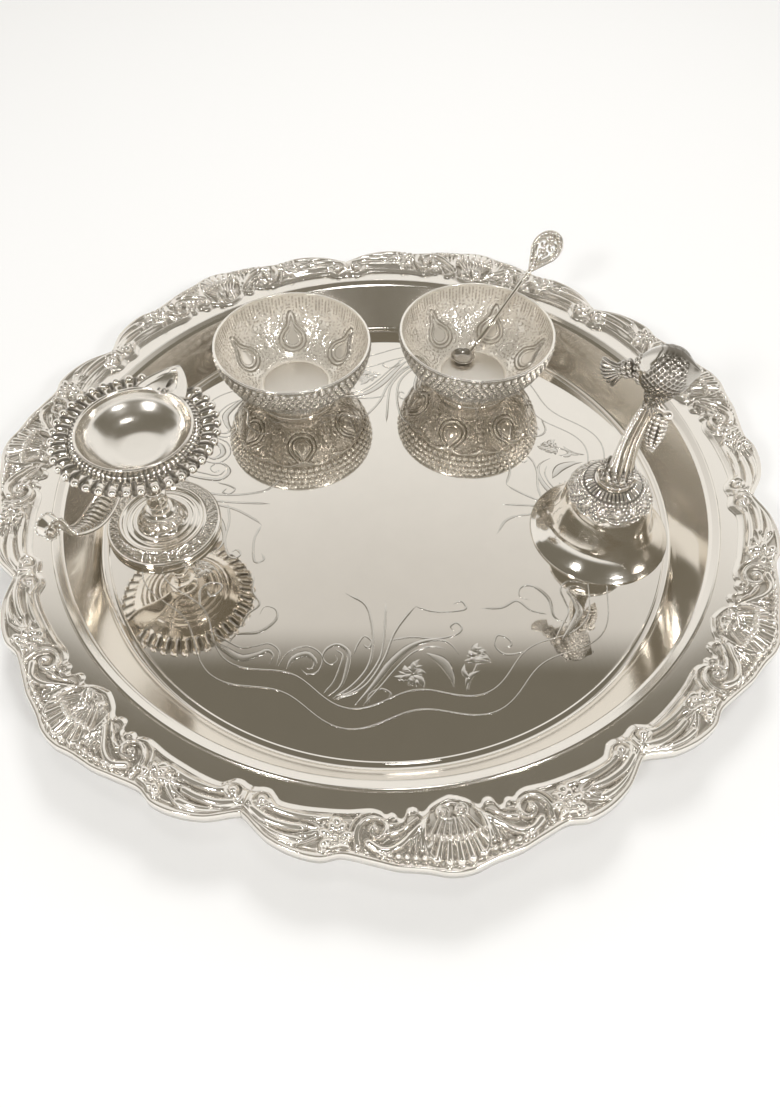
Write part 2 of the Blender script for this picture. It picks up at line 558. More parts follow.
# Mount: height over the flange is the ground (rounded lip, shallow groove, rising field, rounded outer
# band) plus the carved forms; a skirt and an underside close it.
def makeBorder(v):
    half = 180 / v["mounts"]
    angle = np.linspace(-half, half, v["columns"])
    inner, outer = (mountEdge(v[edge], np.abs(angle), v["edgeSteps"]) for edge in ("inner", "outer"))
    across = inner + (outer - inner) * np.linspace(0, 1, v["rows"])[:, None]
    along = np.broadcast_to(np.radians(np.abs(angle)) * v["middle"], across.shape)
    fromLip, fromEdge = across - inner, outer - across
    field = {"x": along, "y": across, "form": np.zeros_like(across)}
    carveMount(field, v)
    form = field["form"] * ease(fromEdge, *v["clearEdge"]) * ease(fromLip, *v["clearLip"])
    first, step, whole = v["lipRound"]
    ground = first * quarter(fromLip, step) + (v["lipHeight"] - first) * np.clip(fromLip / whole, 0, 1)
    deep, off, wide = v["groove"]
    ground = ground - deep * bell(fromLip - off, wide) + v["fieldRise"] * ease(fromLip, *v["fieldFrom"])
    deep, off, wide = v["valley"]
    ground = ground - deep * bell(fromEdge - v["band"] - off, wide)
    ground = ground + v["edgeRise"] * np.clip(1 - ((fromEdge - v["edgeRound"]) / v["band"]) ** 2, 0, 1)
    ground = (v["bandFall"] + ground) * quarter(fromEdge, v["edgeRound"]) - v["bandFall"]
    fromEnd = np.radians(half - np.abs(angle)) * v["middle"]
    height = ground + form - v["joint"] * (1 - quarter(fromEnd, v["joint"]))
    dark, gain = v["tone"]
    plain = np.maximum(1 - ease(fromLip, *v["shineLip"]), 1 - ease(fromEdge, *v["shineEdge"]))
    level = np.maximum(np.clip(dark + form / gain, 0, 1), plain)
    # The loop across the mount: inner foot, top, skirt, underside.
    foot = np.zeros_like(inner)
    low, near, skirt = v["tuck"], foot + v["gap"], foot - v["skirt"]
    radius = np.vstack([inner, across, outer - low[0], outer - low[1], outer - low[2], inner + low[3]])
    level = np.vstack([foot + 1, level, foot, foot, foot, foot])
    rise = tray["flangeTop"] + np.vstack([near, height, skirt, skirt, near, near])
    for i in range(v["mounts"]):
        turn = np.radians(angle + v["firstShell"] + 360 * i / v["mounts"])
        reach = v["lip"] + radius
        points = np.stack([reach * np.cos(turn), reach * np.sin(turn), rise], -1)
        shell = gridShell(points.transpose(1, 0, 2), caps=True, relief=level.T)
        name = f"border_mount_{i + 1}"
        makePiece(f"border_relief_{i + 1}", [shell], "borderSilver", "tray", [name])


makeBorder(border)

# Chased lines on the well: strokes are (widest width, form, then bearing and radius of each point), in
# millimetres and degrees from each sector's middle; form "line" keeps its width, "leaf" swells midway.
# Flowers are (bearing, radius, lean, size); "petal" and "barb" are shares of a petal's length and width.
chasing = {
    "lobes": 12, "first": -97.5, "outer": 104.4, "swing": 4.0, "gap": 8.2, "width": 0.62, "height": 0.04,
    "sectors": 4, "sectorFirst": -98.0, "lift": 0.005, "stack": (0.006, 13), "ringSteps": 720,
    "strokeSteps": 64,
    "petalSteps": 24, "barbSteps": 16, "petal": (0.5, 0.55, 0.9), "barb": (0.35, 0.55, 0.12, 0.72, 0.3),
    "barbWidth": 0.5,
    "strokes": [
        (2.6, "leaf", [(-36.6, 98.0), (-31.9, 97.2), (-27.4, 96.0), (-24.8, 91.4), (-23.3, 87.7),
            (-21.2, 88.6), (-20.6, 92.7)]),
        (0.6, "line", [(-37.5, 96.0), (-33.5, 94.2), (-29.0, 92.5), (-26.4, 88.2), (-24.0, 84.8),
            (-20.4, 86.0), (-19.0, 91.8)]),
        (2.2, "leaf", [(-16.3, 91.2), (-16.3, 86.0), (-13.6, 82.1), (-10.7, 83.9), (-10.6, 87.2),
            (-12.1, 87.8)]),
        (0.6, "line", [(-18.6, 91.6), (-18.2, 84.0), (-14.2, 78.9), (-9.4, 81.0), (-8.8, 87.5),
            (-11.0, 90.2), (-13.0, 89.0)]),
        (1.5, "leaf", [(-4.8, 97.1), (-2.4, 91.7), (-1.9, 83.5), (-2.6, 76.6), (-6.4, 74.3), (-9.0, 77.6),
            (-9.0, 81.8),
                       (-6.6, 83.7), (-5.0, 81.1), (-6.1, 79.1)]),
        (0.6, "line", [(-5.8, 96.0), (-4.4, 91.0), (-3.9, 84.5), (-4.0, 78.6), (-6.6, 76.6)]),
        (0.9, "line", [(-3.5, 97.2), (0.1, 91.1), (3.4, 82.5), (4.3, 72.9), (3.0, 62.1), (-0.9, 53.7),
            (-10.7, 50.6)]),
        (0.9, "line", [(-2.9, 97.5), (2.0, 90.7), (6.2, 79.9), (7.6, 70.4), (8.4, 51.6)]),
        (0.9, "line", [(-2.3, 97.3), (3.3, 90.4), (7.7, 78.7), (11.2, 66.8), (16.9, 58.6), (20.9, 55.5)]),
        (2.4, "leaf", [(1.7, 98.5), (5.2, 90.2), (9.9, 79.8), (15.9, 73.3), (22.9, 72.0), (27.4, 75.0),
            (28.8, 81.3)]),
        (0.6, "line", [(3.4, 98.4), (6.9, 90.6), (11.4, 82.0), (16.6, 76.0), (22.4, 74.9), (26.0, 77.6)]),
        (0.7, "line", [(4.4, 98.0), (4.7, 93.6), (7.2, 91.2), (9.4, 92.9), (9.1, 95.1)]),
        (3.4, "leaf", [(20.2, 77.3), (23.8, 82.7), (24.6, 89.0), (24.2, 94.1)]),
        (0.8, "line", [(32.4, 87.3), (28.3, 93.4), (26.7, 97.2)]),
        (0.7, "line", [(44.5, 92.8), (39.9, 89.3), (38.9, 84.3), (41.2, 80.7), (43.1, 83.2), (42.9, 86.9),
            (40.9, 86.8)]),
        (0.8, "line", [(8.5, 70.3), (16.4, 69.2), (24.7, 72.0), (30.8, 72.7), (33.5, 70.9), (32.8, 67.8),
            (30.3, 68.5), (30.7, 70.7)]),
        (0.7, "line", [(-0.9, 77.3), (-0.3, 72.4), (1.3, 68.7), (3.7, 70.6), (3.1, 73.7), (1.3, 72.4)]),
        (1.2, "leaf", [(-32.0, 95.7), (-32.7, 89.6), (-28.7, 83.0), (-27.6, 75.0), (-30.3, 71.2),
            (-33.6, 73.2), (-32.7, 77.2)]),
        (0.8, "line", [(-46.5, 67.1), (-41.1, 71.8), (-35.6, 73.8), (-35.3, 80.5), (-33.4, 86.5)]),
        (0.8, "line", [(20.9, 55.5), (28.4, 60.3), (38.1, 63.8), (39.2, 60.0), (35.8, 59.5)]),
        (2.0, "leaf", [(27.0, 94.4), (29.2, 91.4), (31.8, 90.8)]), (1.8, "leaf", [(28.6, 92.6),
            (28.0, 89.0), (29.0, 86.0)]),
    ],
    "flowers": [(15.2, 85.6, 30.0, 7.2), (33.3, 84.4, 30.0, 5.6)],
    "petals": 6, "petalWidth": 3.4, "uneven": 0.3, "wider": 1.25,
}


# Chased strip: a thin flat bar along a line on the well, with its own width at each point.
def strip(line, width, height, base, closed=False, flat=0.7):
    side = -lineNormal(line, closed) * np.broadcast_to(width, (len(line),))[:, None] / 2
    plan = line[:, None] + np.array([-1, -flat, flat, 1])[:, None] * side[:, None]
    rise = np.broadcast_to(base + height * np.array([0, 1, 1, 0]), plan.shape[:2])
    points = np.concatenate([plan, rise[..., None]], -1)
    return gridShell(points, caps=not closed, wrapRows=closed)


# Width along an open stroke: nearly even for a line, a long swell that comes to points for a leaf.
def strokeWidth(width, form, count, least=0.05):
    t = np.linspace(0, 1, count)
    if form == "line":
        return width * np.clip(np.sin(np.pi * t) * 4, least, 1)
    return width * (least + (1 - least) * np.sin(np.pi * t**0.8) ** 1.2)


# Chasing: two lobed rings, whose radius swings with a cosine of the angle, then the strokes and flowers
# of each sector.
def makeChasing(v):
    base, shells = tray["wellTop"] + v["lift"], []

    # Each stroke is a little higher than the one before, so that crossing strokes share no face.
    def chase(line, width, closed=False):
        step, most = v["stack"]
        shells.append(strip(line, width, v["height"] + step * (len(shells) % most), base, closed))

    def chaseLeaf(points, width, count):
        chase(smoothLine(points, count), strokeWidth(width, "leaf", count))

    turn = fullTurn(v["ringSteps"])[0]
    for inset in (0.0, v["gap"]):
        radius = v["outer"] - inset + v["swing"] * np.cos(v["lobes"] * (turn - math.radians(v["first"])))
        chase(np.stack([radius * np.cos(turn), radius * np.sin(turn)], 1), v["width"], True)
    for sector in range(v["sectors"]):
        middle = v["sectorFirst"] + 360 * sector / v["sectors"]
        for width, form, points in v["strokes"]:
            plan = [radius * unitAt(middle + bearing) for bearing, radius in points]
            count = v["strokeSteps"]
            chase(smoothLine(plan, count), strokeWidth(v["wider"] * width, form, count))
        for bearing, radius, lean, size in v["flowers"]:
            place = radius * unitAt(middle + bearing)
            for k in range(v["petals"]):
                ray = unitAt(middle + bearing + lean + 360 * k / v["petals"])
                across = np.array([-ray[1], ray[0]])
                long = size * (1 - v["uneven"] * (k % 2))
                root, belly, bend = v["petal"]
                side = place + belly * long * ray + bend * across
                points = [place + root * ray, side, place + long * ray]
                chaseLeaf(points, v["petalWidth"], v["petalSteps"])
                root, belly, bend, tip, spread = v["barb"]
                for hand in (-long, long):
                    points = [
                        place + root * long * ray, place + belly * long * ray + bend * hand * across,
                        place + tip * long * ray + spread * hand * across,
                    ]
                    chaseLeaf(points, v["barbWidth"] * v["petalWidth"], v["barbSteps"])
    makePiece("well_chasing", shells, "frostedSilver", "tray")


makeChasing(chasing)

# Bowls: a round shell with pushed-out drops, dots and flutes; "s" runs up the wall from its bottom edge.
bowl = {
    "rim": 36.7, "height": 31.9, "bottom": 17.0, "round": 32.0, "wall": 1.0, "foot": 5.0,
    "footRadius": 20.3,
    "centre": (4.81, 34.59), "count": 520, "rows": 92, "outCount": 440, "outRows": 66, "backRows": 12,
    "lipRows": 7,
    "footCount": 180, "drops": 6, "dropFoot": 12.3, "dropTip": 24.6, "dropRadius": 6.0, "tipRadius": 0.3,
    "pinch": (1.5, 0.58, 0.26), "pinchFrom": 1.5, "lift": 0.75, "lip": 0.62, "apart": 0.1,
    # tone of the ground and gain of the crests, inside and outside, and how many neighbours count
    "tone": (1.16, 2.5), "outTone": (0.80, 1.6), "toneReach": (3, 4),
    "arc": (19.0, 2.2), "arcWidth": 0.45, "arcClear": (0.7, -0.5), "beadCount": 66, "beadRing": 35.0,
    "beadLift": 1.3,
    "beadRows": [(32.2, 1.4), (29.4, 1.5), (26.5, 1.5), (23.7, 1.35)], "beadEnd": (33.9, 34.4),
    # round the drop: outlines and halo (height, distance outside, width), heart (height, depth, width),
    # pearls (height, distance, step, size), and grooves (distance, width) with their depth
    "outlines": [(1.2, 0.0, 0.55), (0.9, -1.95, 0.45)], "halo": (0.8, 3.7, 0.4), "heart": (1.5, 2.7, 1.8),
    "pearls": (1.1, 2.1, 2.0, 0.85), "grooves": [(0.95, 0.4), (-0.95, 0.45)], "grooveDepth": 0.75,
    # between the drops: column of dots (height, step, size, start, end), flowers (middle, reach, size)
    "column": (1.1, 2.2, 0.95, (4, 5), (24, 25)), "flowers": [(21.5, 2.2, 1.05), (7.5, 1.9, 0.95)],
    "flower": (1.1, 6, 1.2, 0.7),
    # strokes from the rim (height, count), the wandering of their lower ends, and the line above them
    "strokes": (1.1, 66), "strokeEnd": (-1.2, 0.6), "strokeTop": (33.6, 34.2), "endHeight": 27.2,
    "endWaves": [(1.6, 17, 0.0), (1.3, 41, 1.0), (1.1, 71, 0.0)], "rimLine": (0.6, 34.5, 0.35),
    # scallops at the bottom (foot, swing, count, height, width), with dots (height, distance, step, size)
    "scallop": (1.5, 1.5, 6, 0.9, 0.4), "scallopDots": (0.9, 1.6, 2.0, 0.8), "stipple": 0.5,
    "plain": ((0.2, 0.8), (34.6, 34.9)), "shine": ((0.0, 0.6), (34.3, 34.8)),
}


# Drop distance: signed distance to a round foot drawn out to a small tip, with the length along its
# outline; the sides are pinched in above the foot by a bell curve of the height.
def dropDistance(x, y, v):
    tall = v["dropTip"] - v["dropFoot"]
    b = (v["dropRadius"] - v["tipRadius"]) / tall
    a = math.sqrt(1 - b * b)
    py = y - v["dropFoot"]
    deep, middle, spread = v["pinch"]
    px = np.abs(x) + deep * bell(py / tall - middle, spread) * ease(np.abs(x), 0.0, v["pinchFrom"])
    k = -b * px + a * py
    low, top = np.hypot(px, py) - v["dropRadius"], np.hypot(px, py - tall) - v["tipRadius"]
    far = np.where(k < 0, low, np.where(k > a * tall, top, a * px + b * py - v["dropRadius"]))
    side = v["dropRadius"] * (np.pi / 2 + math.asin(b)) + k
    return far, np.where(k < 0, v["dropRadius"] * np.arctan2(px, -py), side)


# Relief on the wall: in each bay a drop with inner outlines and rows of dots round it, between the
# bays a column of dots and small flowers, and strokes of uneven length down from the rim.
def bowlRelief(turn, s, radius, v):
    part = 2 * np.pi / v["drops"]
    lean = np.mod(turn + part / 2, part) - part / 2
    between = (np.abs(lean) - part / 2) * radius
    far, walk = dropDistance(lean * radius, s, v)
    out = sum(tall * bell(far - off, wide) for tall, off, wide in v["outlines"])
    tall, off, wide = v["heart"]
    out = np.maximum(out, tall * np.sqrt(np.clip((-far - off) / wide, 0, 1)))
    tall, off, step, size = v["pearls"]
    out = np.maximum(out, tall * dotRow(far - off, walk, step, size))
    tall, off, wide = v["halo"]
    out = np.maximum(out, tall * bell(far - off, wide))
    tall, step, size, begin, end = v["column"]
    out = np.maximum(out, tall * dotRow(between, s, step, size) * ease(s, *begin) * (1 - ease(s, *end)))
    tall, petals, heart, heartSize = v["flower"]
    for middle, reach, size in v["flowers"]:
        ring = np.hypot(between, s - middle) - reach
        around = (np.arctan2(between, s - middle) + np.pi) * reach
        out = np.maximum(out, tall * dotRow(ring, around, 2 * np.pi * reach / petals, size))
        out = np.maximum(out, heart * np.sqrt(np.clip(1 - (ring + reach) ** 2 / heartSize, 0, 1)))
    # Strokes from the rim: narrow ridges whose lower ends wander.
    tall, count = v["strokes"]
    wander = sum(swing * np.sin(waves * turn + start) for swing, waves, start in v["endWaves"])
    end = v["endHeight"] + wander
    below, above = v["strokeEnd"]
    stroke = np.abs(np.sin(count * turn)) ** 3 * ease(s, end + below, end + above)
    out = np.maximum(out, tall * stroke * (1 - ease(s, *v["strokeTop"])))
    tall, line, wide = v["rimLine"]
    out = np.maximum(out, tall * bell(s - line, wide))
    low, swing, count, tall, wide = v["scallop"]
    scallop = s - low - swing * np.abs(np.sin(count * turn))
    out = np.maximum(out, tall * bell(scallop, wide))
    tall, off, step, size = v["scallopDots"]
    out = np.maximum(out, tall * dotRow(scallop - off, turn * radius, step, size))
    # Stipple: two crossing waves, each bent by the other's direction.
    waves = np.sin(67 * turn + 2.3 * np.sin(1.1 * s)) * np.sin(1.9 * s + 2.0 * np.sin(23 * turn))
    groove = sum(bell(far - off, wide) for off, wide in v["grooves"])
    out = np.maximum(out, v["stipple"] * (0.5 + 0.5 * waves)) - v["grooveDepth"] * groove
    low, high = v["plain"]
    return out * ease(s, *low) * (1 - ease(s, *high))


# Mean of a relief over a few neighbours each way, to tell crests from the hollows beside them.
def nearMean(field, reach):
    for axis, most in enumerate(reach):
        field = sum(np.roll(field, k, axis) for k in range(-most, most + 1)) / (2 * most + 1)
    return field


# Outside, under the rim: rows of beads set like bricks, above leaf arcs; further down as inside.
def outsideRelief(turn, s, radius, v):
    beaded, step = np.zeros_like(turn * s), 2 * np.pi / v["beadCount"]
    for k, (row, size) in enumerate(v["beadRows"]):
        walk = (turn + k % 2 * step / 2) * v["beadRing"]
        beaded = np.maximum(beaded, dotRow(s - row, walk, step * v["beadRing"], size))
    low, swing = v["arc"]
    arc = s - low - swing * np.abs(np.sin(v["drops"] * turn))
    clear, until = v["arcClear"]
    beaded = np.maximum(beaded * (arc > clear), bell(arc, v["arcWidth"]))
    beaded = v["beadLift"] * beaded * (1 - ease(s, *v["beadEnd"]))
    return np.where(arc > until, beaded, bowlRelief(turn, s, radius, v))


# Bowl: the wall is an arc of a circle carried round, moved along the arc's radius by the relief; inside
# and outside are two closed shells that lie a little apart.
def makeBowl(side, turnFirst, v):
    place = nodePlace(f"bowl_{side}_shell")
    base = nodeBox(f"bowl_{side}_foot")[0][2]
    cx, cz = v["centre"]
    bottom, floor, body = v["bottom"], v["foot"] + v["wall"], f"bowl_{side}"
    lowTurn = math.atan2(v["foot"] - cz, bottom - cx)
    highTurn = math.atan2(v["height"] - cz, v["rim"] - cx)
    middle = v["round"] - v["wall"] / 2

    def ring(radius, height, turn):
        x, y = place[0] + radius * np.cos(turn), place[1] + radius * np.sin(turn)
        return np.stack([x, y, base + height + 0 * turn], -1)

    # Points on the wall's arc at a depth from its centre, with the tone of the relief on it.
    def wall(depth, rows, count, relief=None, toneName="tone"):
        sweep, turn = np.linspace(lowTurn, highTurn, rows)[:, None], fullTurn(count)
        s, radius = (sweep - lowTurn) * v["round"], cx + v["round"] * np.cos(sweep)
        lift = relief(turn - math.radians(turnFirst), s, radius, v) if relief else np.zeros((rows, count))
        reach = depth + v["lift"] * lift
        low, high = v["shine"]
        ground, gain = v[toneName]
        tone = np.clip(ground + gain * (lift - nearMean(lift, v["toneReach"])), 0, 1)
        tone = highest(tone, 1 - ease(s, *low), ease(s, *high))
        return ring(cx + reach * np.cos(sweep), cz + reach * np.sin(sweep), turn), tone

    # Rings of a flat disc.
    def flat(radii, height, count):
        return ring(np.array(radii)[:, None], height * np.ones((len(radii), 1)), fullTurn(count))

    # Rounded rim: part of a half circle over the wall's edge.
    def lip(count, first, last):
        arc = np.linspace(first, last, v["lipRows"])[:, None]
        reach, rise = middle - v["lip"] * np.cos(arc), v["lip"] * np.sin(arc)
        c, s = math.cos(highTurn), math.sin(highTurn)
        return ring(cx + reach * c - rise * s, cz + reach * s + rise * c, fullTurn(count))

    # One side of the bowl: plain parts before and after the chased one, which has its own tone.
    def makeSide(name, before, chased, tone, after, metal, replaced=()):
        points = np.concatenate([*before, chased, *after])
        level, first = np.ones(points.shape[:2]), sum(len(part) for part in before)
        level[first : first + len(tone)] = tone
        shell = gridShell(points, poles=True, relief=level)
        makePiece(f"bowl_{side}_{name}", [shell], metal, body, replaced)

    count, low = v["count"], bottom - 0.5
    before = [flat([0.0, (bottom - 0.6) * 0.5, bottom - 0.9], floor, count)]
    after = [
        lip(count, 0, np.pi / 2), wall(middle - v["apart"], v["backRows"], count)[0][::-1],
        flat([low, bottom * 0.5, 0.0], floor - 0.55, count),
    ]
    chased, tone = wall(v["round"] - v["wall"], v["rows"], count, bowlRelief)
    makeSide("chased", before, chased, tone, after, "satinSilver", [f"bowl_{side}_shell"])
    count = v["outCount"]
    before = [
        flat([0.0, bottom * 0.5, low], floor - 0.6, count),
        wall(middle + v["apart"], v["backRows"], count)[0],
        lip(count, np.pi / 2, np.pi),
    ]
    after = [flat([low, bottom * 0.5, 0.0], v["foot"], count)]
    chased, tone = wall(v["round"], v["outRows"], count, outsideRelief, "outTone")
    makeSide("outside", before, chased[::-1], tone[::-1], after, "bowlSilver")
    wide, top = v["footRadius"], v["foot"]
    foot = turnedLine([
        (bottom - 1.8, top, 0), (wide - 1.8, 0, 0.4), (wide, 0, 0.5), (wide, 1.0, 0.5),
        (wide - 1.5, 1.4, 0.5), (bottom - 0.3, 3.6, 1.2), (bottom, top, 0.3), (bottom - 1.8, top, 0),
    ])
    disc = turnedLine([
        (0, floor + 0.12, 0), (bottom - 1.5, floor + 0.12, 0.2), (bottom - 1.1, floor - 0.2, 0),
        (0, floor - 0.2, 0),
    ])
    shell = turned(disc + (0, base), place, v["footCount"], poles=True)
    makePiece(f"bowl_{side}_floor", [shell], "brushedSilver", body)
    shell = turned(foot + (0, base), place, v["footCount"])
    name = f"bowl_{side}_foot"
    makePiece(f"bowl_{side}_ring", [shell], "polishedSilver", body, [name])


makeBowl("left", 97.0, bowl)
makeBowl("right", 68.0, bowl)
print("tray and bowls ready")

# Oil lamp: heights are above the table, radii from the lamp's own axis.
lampPlace = nodePlace("lamp_base")
lampBase = {
    "count": 432, "cells": 36, "step": 0.4, "lift": (0.5, 0.55), "ground": 0.2,
    # the top side is above the first height or inside the second radius
    "upper": (4.3, 12.0), "band": (18.7, 23.3), "bandMiddle": 20.95,
    # ovals (half width, half depth, share of the ring, its width), their seeds, and leaves between them
    "oval": (1.25, 1.75, 0.85, 0.2), "seed": (1.2, 0.45), "leaf": (0.5, 0.62),
    "leaves": [(19.6, 0.5), (20.95, 0.0), (22.3, -0.5)], "dotRings": (23.0, 18.95),
    "dots": (0.8, 1.2, 0.45),
    # dome: largest radius, lowest and highest place; petal rows (height, width); dot rings on it
    "dome": (10.4, 6.6, 12.6), "petals": 16, "petalRows": [(7.9, 1.0), (10.4, 1.1)], "petalLift": 1.5,
    "petalShape": 0.6,
    "domeDots": [(9.25, 9.2, 1.15, 0.45), (12.0, 7.6, 1.1, 0.42)],
    "line": [
        (4.4, 12.3, 0), (7.2, 10.6, 0.4), (8.0, 6.2, 0.6), (16.2, 4.0, 0.6), (17.6, 5.2, 0.4),
        (23.0, 2.9, 0.4),
        (23.2, 1.2, 0.2), (24.0, 1.2, 0.35), (24.45, 2.2, 0.7), (24.3, 3.9, 0.7), (23.6, 4.35, 0.35),
        (23.3, 4.25, 0.2),
        (20.6, 5.35, 0.9), (18.6, 6.05, 0.3), (18.2, 6.35, 0.35), (17.5, 6.35, 0.4), (16.9, 5.5, 0.5),
        (15.6, 5.35, 0.5),
        (15.1, 5.75, 0.3), (14.4, 5.75, 0.3), (13.9, 5.55, 0.3), (12.9, 5.75, 0.3), (12.5, 6.15, 0.3),
        (11.9, 6.15, 0.3),
        (10.9, 6.1, 0.5), (10.2, 7.0, 0.7), (9.6, 8.4, 1.0), (8.2, 11.4, 1.4), (6.0, 12.9, 1.0),
        (5.4, 13.55, 0.3),
        (4.4, 13.62, 0.2), (1.7, 13.62, 0), (1.7, 12.3, 0), (4.4, 12.3, 0),
    ],
}


# Lamp foot: turned rings; the sloping band carries ovals with seeds and leaves between two rings of dots,
# the dome two rows of petals.
def makeLampBase(v):
    line = evenLine(turnedLine(v["line"], 4), v["step"])
    radius, height = line[:, :1], line[:, 1:]
    turn = fullTurn(v["count"])
    upper = (height > v["upper"][0]) | (radius < v["upper"][1])
    band = upper & (radius > v["band"][0]) & (radius < v["band"][1])
    cell = (np.mod(turn * v["cells"] / (2 * np.pi), 1) - 0.5) * 2 * np.pi / v["cells"] * radius
    wide, deep, ringShare, ringWidth = v["oval"]
    far = np.hypot(cell / wide, (radius - v["bandMiddle"]) / deep)
    seed, seedShare = v["seed"]
    ornate = np.maximum(bell(far - ringShare, ringWidth), seed * hump(far, seedShare))
    half = np.abs(cell) - np.pi / v["cells"] * radius
    wide, deep = v["leaf"]
    for middle, lean in v["leaves"]:
        gap = np.hypot((half + lean * (radius - middle)) / wide, (radius - middle) / deep)
        ornate = np.maximum(ornate, hump(gap, 1.0))
    tall, step, size = v["dots"]
    for ring in v["dotRings"]:
        ornate = np.maximum(ornate, tall * dotRow(radius - ring, turn * ring, step, size))
    ornate = ornate * band
    widest, low, high = v["dome"]
    dome = upper & (radius < widest) & (height > low) & (height < high)
    petals = sum(dotRow(height - row, turn * ring, step, size) for row, ring, step, size in v["domeDots"])
    for wave, (row, wide) in zip((np.sin, np.cos), v["petalRows"]):
        petal = np.abs(wave(v["petals"] / 2 * turn)) ** v["petalShape"] * bell(height - row, wide)
        petals = np.maximum(petals, v["petalLift"] * petal)
    petals = petals * dome
    swell = v["lift"][0] * ornate + v["lift"][1] * petals
    level = np.where(band | dome, np.clip(v["ground"] + np.maximum(ornate, petals), 0, 1), 1)
    shell = turned(line, lampPlace, v["count"], -swell, relief=level)
    makePiece("lamp_foot", [shell], "castSilver", "lamp", ["lamp_base"])


makeLampBase(lampBase)

lampStem = {
    "count": 96, "step": 0.35,
    "line": [
        (1.7, 13.7, 0), (3.9, 13.7, 0.2), (4.2, 14.2, 0.3), (3.3, 14.9, 0.4), (4.75, 18.0, 2.6),
        (3.3, 21.6, 0.9),
        (4.4, 22.2, 0.3), (4.4, 22.9, 0.3), (3.0, 23.7, 0.7), (2.7, 27.6, 1.5), (3.1, 30.2, 0.6),
        (4.7, 32.2, 1.3),
        (4.5, 33.9, 0.8), (3.0, 35.2, 0.6), (3.5, 36.0, 0.3), (3.5, 36.6, 0.3), (2.9, 37.4, 0.6),
        (3.6, 41.4, 2.2),
        (6.4, 44.4, 0.8), (6.6, 45.15, 0.2), (1.7, 45.15, 0),
    ],
}


# Stem: a baluster profile carried round, closed at the bore.
def makeLampStem(v):
    line = evenLine(turnedLine(v["line"], 9), v["step"])
    shell = turned(np.vstack([line, line[:1]]), lampPlace, v["count"])
    makePiece("lamp_baluster", [shell], "polishedSilver", "lamp", ["lamp_stem"])


makeLampStem(lampStem)

# Petal dish: "outer" and "inner" are where the two rings of petals begin and end, seen from above and from
# below; "long" and "short" are each petal's half share, height and depth of the gap.
lampDish = {
    "count": 532, "petals": 38, "small": 76, "spout": 72.0, "step": 0.5, "topFrom": 32.0, "gapTone": 1.3,
    "beadRing": 31.0, "beadHeight": 57.7, "beadRadius": 1.75, "spread": 17.0,
    "outer": (25.5, 26.2), "outerBelow": (24.5, 27.0), "inner": (22.2, 22.7), "innerEnd": (25.1, 25.4),
    "long": (0.37, 1.35, 0.85), "short": (0.38, 0.7, 0.35), "rings": (12.5, 15.5, 18.0, 20.5),
    "ring": (0.35, 0.5),
    "line": [
        (1.7, 46.85, 0), (9.0, 46.85, 0.6), (19.0, 50.0, 3.0), (26.3, 54.2, 3.0), (30.4, 56.0, 0.6),
        (30.9, 57.2, 0.5),
        (30.2, 58.2, 0.5), (28.2, 58.3, 0.9), (25.7, 57.6, 0.6), (25.3, 57.1, 0.3), (24.7, 58.6, 0.7),
        (23.3, 59.5, 0.6),
        (22.4, 59.3, 0.3), (21.9, 57.8, 0.4), (21.3, 55.2, 1.0), (17.0, 50.6, 2.0), (9.0, 48.0, 0.6),
        (1.7, 48.0, 0), (1.7, 46.85, 0),
    ],
}


# Round ridge across one of so many equal parts of a turn, from its share of the part.
def partRidge(turn, count, wide):
    return hump(np.mod(turn * count / (2 * np.pi), 1) - 0.5, wide)


# Petal dish: an outer ring of long petals, each with a ball at its end and a deep gap beside it, an inner
# ring of small petals next to the cup, and a plain underside with turned rings.
def makeLampDish(v):
    line = evenLine(turnedLine(v["line"], 5), v["step"])
    radius, spout, turn = line[:, :1], math.radians(v["spout"]), fullTurn(v["count"])
    top = walkOf(line)[:, None] > v["topFrom"]
    outer = top * ease(radius, *v["outer"]) + (1 - top) * ease(radius, *v["outerBelow"])
    inner = top * ease(radius, *v["inner"]) * (1 - ease(radius, *v["innerEnd"]))
    tall, wide = v["ring"]
    swell = sum(tall * (1 - top) * bell(radius - ring, wide) for ring in v["rings"])
    level = 1
    for share, count, kind in ((outer, v["petals"], "long"), (inner, v["small"], "short")):
        half, rise, deep = v[kind]
        petal = partRidge(turn - spout, count, half)
        swell = swell + share * (rise * petal - deep)
        level = level - share * np.clip(1 - v["gapTone"] * petal, 0, 1)
    shells = [turned(line, lampPlace, v["count"], -swell, relief=np.clip(level, 0, 1))]
    way = 2 * np.pi * (np.arange(v["petals"]) + 0.5) / v["petals"]
    way = spout + way[np.abs(np.mod(way + np.pi, 2 * np.pi) - np.pi) > math.radians(v["spread"])]
    x, y = lampPlace[0] + v["beadRing"] * np.cos(way), lampPlace[1] + v["beadRing"] * np.sin(way)
    shells.append(beads(np.stack([x, y, v["beadHeight"] + 0 * way], 1), v["beadRadius"], 11, 16))
    makePiece("lamp_petals", shells, "agedSilver", "lamp", ["lamp_petal_dish"])


makeLampDish(lampDish)

